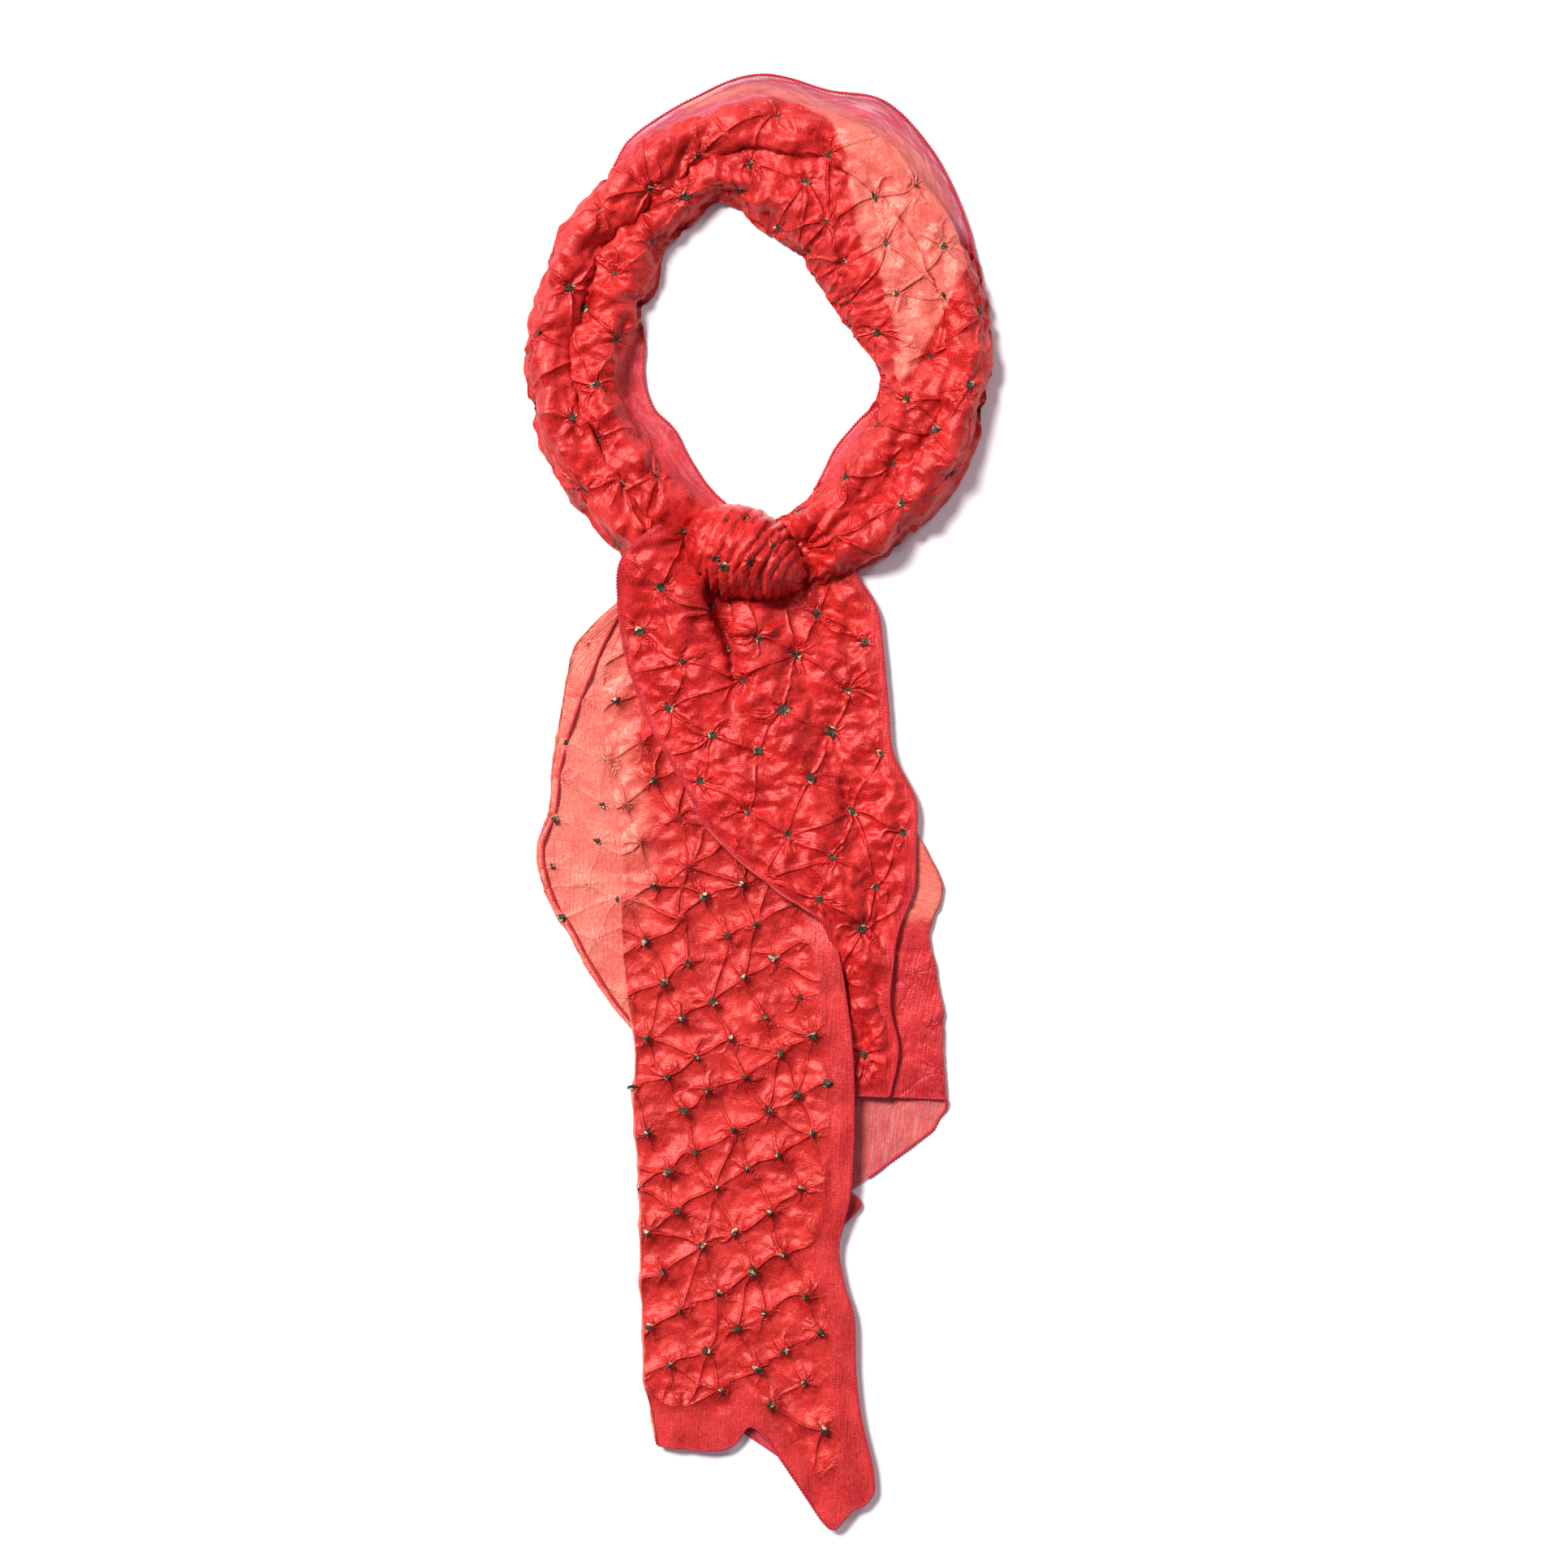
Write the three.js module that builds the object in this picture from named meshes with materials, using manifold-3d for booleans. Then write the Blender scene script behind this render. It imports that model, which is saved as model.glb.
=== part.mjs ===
// A tie-dyed silk scarf knotted into a neck ring with two hanging tails, laid out flat.
// One length of cloth: the ring, the knot and both tails are one body. Millimetres, +Z up.
// The underside lies on z = 0 and the outline is centred on the origin.
import * as THREE from 'three';
import { mergeVertices } from 'three/addons/utils/BufferGeometryUtils.js';
import Module from 'manifold-3d';

const CLOTH = 1.4;          // thickness of one layer
const PITCH = 3.2;          // height from one layer of a folded tail to the next
const FOLD = PITCH / 2;     // radius of a fold
const LOW = CLOTH / 2;      // height of a layer that lies on the table
const TIP = { tied: 3.2, puff: 0.2 };   // relief at a tied point of tail A, and between them
const PIT = { tied: -0.4, puff: 3.0 };  // the same elsewhere, where the points are drawn in
const RING_CENTRE = [2, 266];
const MIDDLE_X = 2;         // middle of the outline, as the tables measure it
const RING_STATIONS = 40;
const HEAD_RISE = 5;        // how far the head of tail A rises into the knot
const OVER_B = 5.2;         // how much tail A's hem rises where it lies on tail B
const DROP_WIDTH = 24;      // how gently tail B comes down from tail A
const KNOT = { x: -6, y: 143, halfX: 37, halfY: 27, high: 41, low: 1.75, lean: -0.42, pleats: 6, pleat: 2.4 };

// Sections of the ring, by the angle around its middle. outer and inner are its two edges, brim is
// the flat hem outside the outer roll, valley is where the roll meets the inner band, flap is the
// flat hem inside the band. roll, dip and band are the heights of the roll, valley and band.
const RING = [
  { at: -90, outer: 149, inner: 104, brim: 3, valley: 128, flap: 4, roll: 21, dip: 17, band: 20 },
  { at: -70, outer: 145, inner: 91, brim: 3, valley: 122, flap: 5, roll: 23, dip: 16, band: 22 },
  { at: -55, outer: 142, inner: 76, brim: 3, valley: 116, flap: 9, roll: 25, dip: 17, band: 22 },
  { at: -40, outer: 141, inner: 73, brim: 3, valley: 112, flap: 8, roll: 27, dip: 18, band: 23 },
  { at: -25, outer: 139, inner: 76, brim: 3, valley: 112, flap: 5, roll: 27, dip: 19, band: 22 },
  { at: -10, outer: 136, inner: 70, brim: 3, valley: 113, flap: 4, roll: 26, dip: 18, band: 20 },
  { at: 5, outer: 135, inner: 57, brim: 3, valley: 110, flap: 4, roll: 25, dip: 16, band: 19 },
  { at: 20, outer: 136, inner: 50, brim: 5, valley: 108, flap: 4, roll: 24, dip: 15, band: 20 },
  { at: 35, outer: 143, inner: 49, brim: 10, valley: 108, flap: 4, roll: 23, dip: 15, band: 21 },
  { at: 50, outer: 153, inner: 51, brim: 15, valley: 109, flap: 4, roll: 22, dip: 15, band: 22 },
  { at: 63, outer: 160, inner: 56, brim: 19, valley: 110, flap: 4, roll: 22, dip: 15, band: 23 },
  { at: 75, outer: 154, inner: 61, brim: 13, valley: 110, flap: 4, roll: 23, dip: 15, band: 23 },
  { at: 90, outer: 158, inner: 69, brim: 15, valley: 112, flap: 4, roll: 24, dip: 14, band: 22 },
  { at: 105, outer: 149, inner: 87, brim: 11, valley: 113, flap: 4, roll: 25, dip: 11, band: 20 },
  { at: 120, outer: 142, inner: 80, brim: 7, valley: 109, flap: 4, roll: 26, dip: 8, band: 20 },
  { at: 135, outer: 132, inner: 78, brim: 3, valley: 107, flap: 4, roll: 27, dip: 8, band: 21 },
  { at: 150, outer: 133, inner: 68, brim: 3, valley: 110, flap: 4, roll: 27, dip: 8, band: 22 },
  { at: 165, outer: 131, inner: 71, brim: 3, valley: 110, flap: 4, roll: 26, dip: 9, band: 22 },
  { at: 180, outer: 135, inner: 67, brim: 3, valley: 115, flap: 8, roll: 25, dip: 9, band: 22 },
  { at: 195, outer: 137, inner: 70, brim: 3, valley: 116, flap: 15, roll: 25, dip: 12, band: 22 },
  { at: 210, outer: 141, inner: 72, brim: 3, valley: 115, flap: 15, roll: 25, dip: 16, band: 22 },
  { at: 225, outer: 143, inner: 70, brim: 3, valley: 116, flap: 18, roll: 25, dip: 18, band: 22 },
  { at: 240, outer: 149, inner: 79, brim: 3, valley: 122, flap: 15, roll: 24, dip: 18, band: 22 },
  { at: 255, outer: 153, inner: 92, brim: 3, valley: 127, flap: 8, roll: 22, dip: 17, band: 21 },
];

// Sections of tail A, by the distance down it. left is the fold at the left of its top layer and
// right its hem; tuck is the fold between the middle and the bottom layer; back is the outer edge
// of the bottom layer, which is turned over as far as turn.
const TAIL_A = [
  { at: -123, left: -66, right: -2, tuck: -8, back: -73, turn: -72 },
  { at: -93, left: -83, right: 0, tuck: -8, back: -105, turn: -88 },
  { at: -74, left: -90, right: 2, tuck: -8, back: -111, turn: -96 },
  { at: -51, left: -90, right: 7, tuck: -5, back: -115, turn: -105 },
  { at: -19, left: -87, right: 16, tuck: 2, back: -120, turn: -114 },
  { at: 7, left: -82, right: 26, tuck: 11, back: -122, turn: -117 },
  { at: 28, left: -79, right: 33, tuck: 16, back: -129, turn: -125 },
  { at: 54, left: -79, right: 40, tuck: 21, back: -124, turn: -120 },
  { at: 77, left: -79, right: 45, tuck: 26, back: -111, turn: -107 },
  { at: 94, left: -78, right: 49, tuck: 26, back: -102, turn: -98 },
  { at: 119, left: -75, right: 53, tuck: 26, back: -86, turn: -82 },
  { at: 144, left: -71, right: 56, tuck: 26, back: -67, turn: -63 },
  { at: 180, left: -72, right: 57, tuck: 28, back: -62, turn: -58 },
  { at: 216, left: -69, right: 56, tuck: 38, back: -61, turn: -57 },
  { at: 234, left: -68, right: 54, tuck: 61, back: -60, turn: -56 },
  { at: 246, left: -68, right: 51, tuck: 54, back: -60, turn: -56 },
  { at: 262, left: -68, right: 48, tuck: 36, back: -60, turn: -56 },
  { at: 280, left: -68, right: 51, tuck: 36, back: -59, turn: -55 },
  { at: 297, left: -67, right: 57, tuck: 40, back: -58, turn: -54 },
  { at: 320, left: -66, right: 58, tuck: 44, back: -57, turn: -53 },
  { at: 339, left: -66, right: 61, tuck: 46, back: -56, turn: -52 },
  { at: 363, left: -61, right: 68, tuck: 52, back: -52, turn: -48 },
  { at: 376, left: -59, right: 69, tuck: 56, back: -50, turn: -46 },
];
// How far the end hem of tail A hangs below the last section, from its left side to its right.
const END_A = [
  { at: 0, down: 0 }, { at: 0.13, down: 2 }, { at: 0.29, down: 3 }, { at: 0.37, down: -1 },
  { at: 0.43, down: -11 }, { at: 0.51, down: -4 }, { at: 0.57, down: 7 }, { at: 0.68, down: 28 },
  { at: 0.77, down: 45 }, { at: 0.82, down: 49 }, { at: 0.9, down: 38 }, { at: 0.96, down: 35 },
  { at: 1, down: 28 },
];

// Sections of tail B, from the left hem to the right hem of its top layer. back is the fold at the
// right of its two lower layers. liftL and liftR are the heights of its lowest layer at either
// side, and drop is where it comes down from one to the other.
const TAIL_B = [
  { at: 0, leftX: -55, leftY: 159, rightX: 57, rightY: 134, back: 51, liftL: 27, liftR: 20, drop: 20 },
  { at: 19, leftX: -77, leftY: 141, rightX: 70, rightY: 113, back: 62, liftL: 21, liftR: 9, drop: 24 },
  { at: 46, leftX: -79, leftY: 112, rightX: 74, rightY: 88, back: 66, liftL: 12, liftR: 1, drop: 22 },
  { at: 79, leftX: -74, leftY: 79, rightX: 77, rightY: 55, back: 69, liftL: 10.4, liftR: 0, drop: 24 },
  { at: 112, leftX: -60, leftY: 42, rightX: 80, rightY: 27, back: 72, liftL: 10.4, liftR: 0, drop: 32 },
  { at: 141, leftX: -43, leftY: 12, rightX: 93, rightY: 0, back: 85, liftL: 10.4, liftR: 0, drop: 42 },
  { at: 173, leftX: -24, leftY: -21, rightX: 93, rightY: -26, back: 99, liftL: 10.4, liftR: 0, drop: 52 },
  { at: 200, leftX: 9, leftY: -50, rightX: 92, rightY: -52, back: 110, liftL: 10.4, liftR: 0, drop: 60 },
  { at: 222, leftX: 39, leftY: -72, rightX: 83, rightY: -76, back: 102, liftL: 6, liftR: 0, drop: 62 },
  { at: 242, leftX: 40, leftY: -92, rightX: 80, rightY: -95, back: 106, liftL: 0, liftR: 0, drop: 60 },
  { at: 267, leftX: 38, leftY: -116, rightX: 78, rightY: -120, back: 110, liftL: 0, liftR: 0, drop: 60 },
  { at: 295, leftX: 36, leftY: -144, rightX: 83, rightY: -145, back: 110, liftL: 0, liftR: 0, drop: 60 },
  { at: 323, leftX: 35, leftY: -171, rightX: 78, rightY: -173, back: 112, liftL: 0, liftR: 0, drop: 60 },
];

// A smooth curve through one column of a table.
function column(rows, name, at, around = 0) {
  const last = rows.length - 1;
  const row = (k) => {
    if (!around) return rows[Math.min(Math.max(k, 0), last)];
    const turns = Math.floor(k / rows.length);
    const r = rows[k - turns * rows.length];
    return { ...r, at: r.at + turns * around };
  };
  let k = 0;
  while (k < (around ? last : last - 1) && row(k + 1).at <= at) k += 1;
  const [p, q, r, s] = [row(k - 1), row(k), row(k + 1), row(k + 2)];
  const gap = r.at - q.at;
  const t = THREE.MathUtils.clamp((at - q.at) / gap, 0, 1);
  const slope = (m, n) => (n.at > m.at ? (n[name] - m[name]) / (n.at - m.at) * gap : 0);
  const [m0, m1] = [slope(p, r), slope(q, s)];
  const [t2, t3] = [t * t, t * t * t];
  return (2 * t3 - 3 * t2 + 1) * q[name] + (t3 - 2 * t2 + t) * m0
    + (3 * t2 - 2 * t3) * r[name] + (t3 - t2) * m1;
}

const mix = THREE.MathUtils.lerp;
const smooth = THREE.MathUtils.smoothstep;

// How near a place on the cloth is to a tied point, from 0 to 1. The points stand in staggered
// rows, where a + b is even.
const tiedAt = (a, b) => 0.5 + 0.5 * Math.cos(Math.PI * a) * Math.cos(Math.PI * b);

// A cloth of the standard thickness on a grid of points, stations x places across. The points are
// moved out along the cloth's normal by the relief; tied(i, j) is below 0 where the cloth is plain.
// Creases run from tied point to tied point. A ring of stations closes on itself.
function clothGeometry({ stations, across, place, tied, relief, closed = false }) {
  const rows = closed ? stations : stations + 1;
  const mid = Array.from({ length: rows },
    (_, j) => Array.from({ length: across + 1 }, (__, i) => place(i, j)));
  const row = (j) => (closed ? (j + rows) % rows : THREE.MathUtils.clamp(j, 0, stations));
  const at = (i, j) => mid[row(j)][THREE.MathUtils.clamp(i, 0, across)];
  const unit = (p, q) => new THREE.Vector3().subVectors(q, p).normalize();
  const points = [];
  for (let j = 0; j < rows; j += 1) {
    for (let i = 0; i <= across; i += 1) {
      const p = at(i, j);
      const u = unit(at(i - 1, j), p).add(unit(p, at(i + 1, j)));
      const n = u.cross(unit(at(i, j - 1), at(i, j + 1))).normalize();
      if (Math.abs(p.z - LOW) < 0.01) n.set(0, 0, Math.sign(n.z));
      const near = tied(i, j);
      const out = near < 0 ? 0 : mix(relief.puff, relief.tied, near);
      points.push(p.clone().addScaledVector(n, out + CLOTH / 2));
      points.push(p.clone().addScaledVector(n, out - CLOTH / 2));
    }
  }
  const index = [];
  const quad = (p, q, r, s) => index.push(p, q, r, p, r, s);
  for (let j = 0; j < stations; j += 1) {
    const [here, next] = [row(j) * (across + 1), row(j + 1) * (across + 1)];
    for (let i = 0; i < across; i += 1) {
      const [p, q, r, s] = [here + i, here + i + 1, next + i + 1, next + i].map((k) => 2 * k);
      if (tied(i, j) + tied(i + 1, j + 1) >= tied(i + 1, j) + tied(i, j + 1)) {
        quad(p, q, r, s);
        quad(p + 1, s + 1, r + 1, q + 1);
      } else {
        quad(q, r, s, p);
        quad(q + 1, p + 1, s + 1, r + 1);
      }
      if (!closed && j === 0) quad(q, p, p + 1, q + 1);
      if (!closed && j === stations - 1) quad(s, r, r + 1, s + 1);
      if (i === 0) quad(p, s, s + 1, p + 1);
      if (i === across - 1) quad(r, q, q + 1, r + 1);
    }
  }
  return new THREE.BufferGeometry().setFromPoints(points).setIndex(index);
}

// The ring: a rolled outer edge, a valley and a puckered inner band, lying on its own underside.
const RING_ACROSS = 22;
function ringSection(turn) {
  const w = (name) => column(RING, name, turn, 360);
  const [inner, valley] = [w('inner'), w('valley')];
  const edge = inner + w('flap');
  const roundTo = w('outer') - w('brim');
  const [band, dip, roll] = [w('band'), w('dip'), w('roll')];
  const b = valley - edge;
  const r = roundTo - valley;
  return [
    [inner, 2.1], [mix(inner, edge, 0.6), 3.4], [edge, 8], [edge + 0.14 * b, 0.72 * band],
    [edge + 0.34 * b, band], [edge + 0.58 * b, 0.96 * band], [edge + 0.8 * b, mix(dip, band, 0.6)],
    [valley, dip], [valley + 0.14 * r, mix(dip, roll, 0.62)], [valley + 0.36 * r, 0.98 * roll],
    [valley + 0.66 * r, 0.97 * roll], [valley + 0.88 * r, 0.74 * roll], [roundTo, 0.42 * roll],
    [roundTo + 0.3 * w('brim'), 0.26 * roll], [w('outer'), 3.6], [w('outer') - 1, LOW + 0.9],
    [w('outer') - 4, LOW], [mix(edge, valley, 0.9), LOW], [edge + 9, LOW],
    [edge + 6.5, LOW + 1.4], [edge + 8, 4.2], [mix(edge, valley, 0.5), 7], [mix(edge, valley, 0.8), 5.6],
  ];
}
function ringPlace(i, j) {
  const turn = -90 + 360 * j / RING_STATIONS;
  const [radius, z] = ringSection(turn)[i];
  const a = THREE.MathUtils.degToRad(turn);
  return new THREE.Vector3(
    RING_CENTRE[0] + radius * Math.cos(a), RING_CENTRE[1] + radius * Math.sin(a), z);
}
const ringTied = (i, j) => (i >= 3 && i <= 12 ? tiedAt(i / 2, j) : -1);

// A layer from one side to the other at a height, as places across a section.
const layer = (from, to, z, steps) => Array.from({ length: steps + 1 },
  (_, k) => [mix(from, to, k / steps), z]);

// Tail A: top layer from its right hem to the fold at the left, middle layer back to the tuck,
// bottom layer out to the left, where it is turned over.
const A_TOP = 10;
const A_STATIONS = 32;
const A_FROM = TAIL_A[0].at;
const A_TO = TAIL_A[TAIL_A.length - 1].at;
function tailAPlace(i, j) {
  const down = mix(A_FROM, A_TO, j / A_STATIONS);
  const w = (name) => column(TAIL_A, name, down);
  const [left, right, tuck, back] = [w('left'), w('right'), w('tuck'), w('back')];
  const high = LOW + 2 * PITCH;
  const section = [
    ...layer(right, left + FOLD, high, A_TOP),
    [left, high - FOLD],
    ...layer(left + FOLD, tuck - FOLD, LOW + PITCH, 2),
    [tuck, LOW + FOLD],
    ...layer(tuck - FOLD, back + FOLD, LOW, 3),
    [back, LOW + 0.8],
    ...layer(back + FOLD, Math.max(w('turn'), back + FOLD + 2), LOW + 1.65, 1),
  ];
  let [x, z] = section[i];
  z += HEAD_RISE * (1 - smooth(down, A_FROM, A_FROM + 26));
  const under = smooth(down, 62, 92) * (1 - smooth(down, 232, 262));
  if (i <= A_TOP) z += OVER_B * under * smooth(x, 22, 40);
  const tail = smooth(j, A_STATIONS - 7, A_STATIONS);
  const across = THREE.MathUtils.clamp((x - left) / (right - left), 0, 1);
  const y = -down - tail * column(END_A, 'down', across) + (i > A_TOP ? 5 * tail : 0);
  return new THREE.Vector3(x, y, z);
}
const tailATied = (i, j) => (i > 0 && i <= A_TOP && j < A_STATIONS - 1 ? tiedAt(i, j) : -1);

// Tail B: top layer from its right hem to the left hem, and two lower layers that show at the
// right of it and below it.
const B_TOP = 8;
const B_STATIONS = 20;
const B_LENGTH = TAIL_B[TAIL_B.length - 1].at;
function tailBPlace(i, j) {
  const down = B_LENGTH * j / B_STATIONS;
  const w = (name) => column(TAIL_B, name, down);
  const [left, right, back] = [w('leftX'), w('rightX'), w('back')];
  const section = [
    ...layer(right, left + FOLD, LOW + 2 * PITCH, B_TOP),
    [left, LOW + 1.5 * PITCH],
    ...layer(left + FOLD, back - FOLD, LOW + PITCH, 4),
    [back, LOW + FOLD],
    ...layer(back - FOLD, left + 4, LOW, 4),
  ];
  const [x, height] = section[i];
  const share = (x - left) / (right - left);
  let y = mix(w('leftY'), w('rightY'), share);
  const fall = smooth(x, w('drop') - DROP_WIDTH / 2, w('drop') + DROP_WIDTH / 2);
  const lift = Math.max(mix(w('liftL'), w('liftR'), fall), 0);
  const tail = smooth(j, B_STATIONS - 6, B_STATIONS);
  const lowest = THREE.MathUtils.clamp(i - B_TOP - 6, 0, 1);
  y -= lowest * tail * mix(58, 12, THREE.MathUtils.clamp((x - 54) / (back - 54), 0, 1));
  return new THREE.Vector3(x, y, height + lift);
}
const tailBTied = (i, j) => (i > 0 && i < B_TOP ? tiedAt(i, j) : -1);

// The knot: a pleated band drawn tight over the ends of the ring and the heads of both tails.
function knotGeometry() {
  const geometry = new THREE.SphereGeometry(1, 30, 16);
  const position = geometry.attributes.position;
  for (let k = 0; k < position.count; k += 1) {
    const p = new THREE.Vector3().fromBufferAttribute(position, k);
    const bend = p.x + 0.22 * (1 - p.y * p.y);
    const ridge = Math.cos(Math.PI * KNOT.pleats * bend) * (1 - p.x * p.x);
    const out = 1 + KNOT.pleat / KNOT.halfX * ridge;
    const x = KNOT.halfX * p.x * out;
    const y = KNOT.halfY * p.y * out * (1 - 0.25 * Math.max(p.x, 0));
    const up = Math.max(p.z, 0);
    const z = KNOT.low + (KNOT.high - KNOT.low) * Math.pow(up, 0.75) + KNOT.pleat * ridge * up;
    const [c, s] = [Math.cos(KNOT.lean), Math.sin(KNOT.lean)];
    position.setXYZ(k, KNOT.x + x * c - y * s, KNOT.y + x * s + y * c, z);
  }
  return geometry;
}

const THIN = 0.05;          // a face thinner than this is a sliver
const SHORT = 0.3;          // the longest edge that may be closed up

const wasm = await Module();
wasm.setup();
function solid(geometry) {
  geometry.deleteAttribute('normal');
  geometry.deleteAttribute('uv');
  const merged = mergeVertices(geometry, 1e-3);
  const vertProperties = new Float32Array(merged.attributes.position.array);
  const triVerts = new Uint32Array(merged.index.array);
  const made = new wasm.Manifold(new wasm.Mesh({ numProp: 3, vertProperties, triVerts }));
  if (made.volume() > 0) return made;
  for (let k = 0; k < triVerts.length; k += 3) {
    [triVerts[k], triVerts[k + 1]] = [triVerts[k + 1], triVerts[k]];
  }
  return new wasm.Manifold(new wasm.Mesh({ numProp: 3, vertProperties, triVerts }));
}

// Where two surfaces cross they leave slivers. A sliver with a short edge is closed up, and a flat
// one gives its long edge to its neighbour. Both keep the surface closed.
function withoutSlivers({ vertProperties, triVerts }) {
  const points = [];
  for (let k = 0; k < vertProperties.length; k += 3) {
    points.push(new THREE.Vector3(...vertProperties.slice(k, k + 3)));
  }
  let faces = [];
  for (let k = 0; k < triVerts.length; k += 3) faces.push([...triVerts.slice(k, k + 3)]);
  const meets = (p) => new Set(faces.filter((f) => f.includes(p)).flat().filter((q) => q !== p));
  const length = (f, k) => points[f[k]].distanceTo(points[f[(k + 1) % 3]]);
  const thickness = (f) => {
    const [a, b, c] = f.map((p) => points[p]);
    const double = b.clone().sub(a).cross(c.clone().sub(a)).length();
    return double / Math.max(length(f, 0), length(f, 1), length(f, 2));
  };
  const closeUp = (f) => {
    const k = [0, 1, 2].reduce((m, n) => (length(f, n) < length(f, m) ? n : m));
    const [a, b] = [f[k], f[(k + 1) % 3]];
    const shared = [...meets(a)].filter((p) => meets(b).has(p));
    if (length(f, k) > SHORT || shared.length !== 2) return false;
    faces = faces.map((g) => g.map((p) => (p === a ? b : p))).filter((g) => new Set(g).size === 3);
    return true;
  };
  const swap = (f) => {
    const k = [0, 1, 2].reduce((m, n) => (length(f, n) > length(f, m) ? n : m));
    const [a, b, c] = [f[k], f[(k + 1) % 3], f[(k + 2) % 3]];
    const g = faces.find((h) => h !== f && h.includes(a) && h.includes(b));
    const d = g.find((p) => p !== a && p !== b);
    if (meets(c).has(d)) return false;
    faces = faces.filter((h) => h !== f && h !== g).concat([[a, d, c], [d, b, c]]);
    return true;
  };
  for (let pass = 0; pass < 8; pass += 1) {
    const slivers = faces.filter((f) => thickness(f) < THIN);
    if (!slivers.length) break;
    slivers.forEach((f) => faces.includes(f) && (closeUp(f) || swap(f)));
  }
  return { points, faces };
}

const ring = solid(clothGeometry({ stations: RING_STATIONS, across: RING_ACROSS,
  place: ringPlace, tied: ringTied, relief: PIT, closed: true }));
const tailA = solid(clothGeometry({ stations: A_STATIONS, across: A_TOP + 11,
  place: tailAPlace, tied: tailATied, relief: TIP }));
const tailB = solid(clothGeometry({ stations: B_STATIONS, across: B_TOP + 11,
  place: tailBPlace, tied: tailBTied, relief: PIT }));
const scarf = ring.add(tailA).add(tailB).add(solid(knotGeometry()));

// Where the knot is drawn tight, the closed pockets left between its layers are taken as cloth.
const [outside] = scarf.asOriginal().simplify(0.1).decompose()
  .sort((a, b) => b.volume() - a.volume());
const { points, faces } = withoutSlivers(outside.getMesh());
const geometry = new THREE.BufferGeometry().setFromPoints(points);
geometry.setIndex(faces.flat());
geometry.translate(-MIDDLE_X, 0, 0);
geometry.computeVertexNormals();

const silk = new THREE.MeshStandardMaterial({ color: 0xd42f2c, roughness: 0.45, metalness: 0 });
const cloth = new THREE.Mesh(geometry, silk);
cloth.name = 'scarf';

const group = new THREE.Group();
group.add(cloth);
export default group;
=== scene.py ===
# %% [markdown]
# # A tie-dyed silk scarf, knotted into a neck ring
# The scarf is one long piece of thin satin silk. Before dyeing, hundreds of small points are tied
# with thread. The thread keeps the dye out and leaves the cloth crumpled, with a small tip or pit
# at every point. The scarf is knotted into a ring and lies on a table, seen from straight above.
# A cloth simulation knows neither the threads nor a tight knot, so this lesson lays the cloth out
# as four stretches of one sheet: ring, long tail, short tail and knot.

# %% Load the frame
import math
from collections import namedtuple

import bpy
import numpy as np
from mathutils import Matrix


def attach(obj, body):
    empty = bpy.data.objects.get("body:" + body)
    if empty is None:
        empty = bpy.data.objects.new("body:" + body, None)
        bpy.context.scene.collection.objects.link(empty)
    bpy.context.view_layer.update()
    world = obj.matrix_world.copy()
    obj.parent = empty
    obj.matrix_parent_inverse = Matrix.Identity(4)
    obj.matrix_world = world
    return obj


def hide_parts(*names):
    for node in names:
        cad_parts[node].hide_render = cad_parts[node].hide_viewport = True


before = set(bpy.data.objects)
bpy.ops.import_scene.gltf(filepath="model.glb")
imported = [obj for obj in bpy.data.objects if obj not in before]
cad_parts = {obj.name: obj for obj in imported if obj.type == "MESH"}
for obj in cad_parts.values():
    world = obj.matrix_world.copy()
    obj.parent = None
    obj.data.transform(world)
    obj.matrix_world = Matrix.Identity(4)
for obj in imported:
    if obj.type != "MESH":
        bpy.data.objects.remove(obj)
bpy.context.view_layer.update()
bpy.ops.object.select_all(action="DESELECT")

# %% [markdown]
# ## Camera
# A scarf that lies flat shows all of itself from above, so the camera hangs straight over it. A
# long lens from far up keeps the tall knot from leaning outwards, as it would under a short one.

# %% Camera
VIEW_CENTRE = (0.0146, 0.0095)      # middle of the view on the table, metres
VIEW_WIDTH = 0.9177                 # how much of the table the view spans, metres
LENS, SENSOR = 85.0, 36.0           # millimetres
FARTHEST = 20                       # metres

bpy.ops.object.camera_add(location=(*VIEW_CENTRE, VIEW_WIDTH * LENS / SENSOR), rotation=(0, 0, 0))
camera = bpy.context.object
camera.name = "overhead_camera"
camera.data.lens = LENS
camera.data.sensor_width = SENSOR
camera.data.clip_end = FARTHEST
bpy.context.scene.camera = camera
print("camera height", round(camera.location.z, 2), "m")

# %% [markdown]
# ## Floor
# The scarf lies on a large sheet of white paper. A plane is enough. It is a hair lower than the
# cloth, so that the two never share a face.

# %% Floor
FLOOR_SIZE, FLOOR_DROP = 8.0, 0.0004        # metres
PAPER_WHITE, PAPER_ROUGHNESS = (0.93, 0.925, 0.93, 1), 0.9

bpy.ops.mesh.primitive_plane_add(size=FLOOR_SIZE, location=(0, 0, -FLOOR_DROP))
floor = bpy.context.object
floor.name = "paper_floor"
paper = bpy.data.materials.new("white_paper")
paper.use_nodes = True
paper_shader = paper.node_tree.nodes["Principled BSDF"]
paper_shader.inputs["Base Color"].default_value = PAPER_WHITE
paper_shader.inputs["Roughness"].default_value = PAPER_ROUGHNESS
floor.data.materials.append(paper)
print("floor", FLOOR_SIZE, "m wide")

# %% [markdown]
# ## Light
# Silk shows its folds only when light comes from one side. One large lamp at the upper left rakes
# over the cloth, so every crease has a light and a dark side. It is wide, because a small lamp
# would give the shadows hard edges. A weak second lamp and a pale room fill the shadows.

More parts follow.
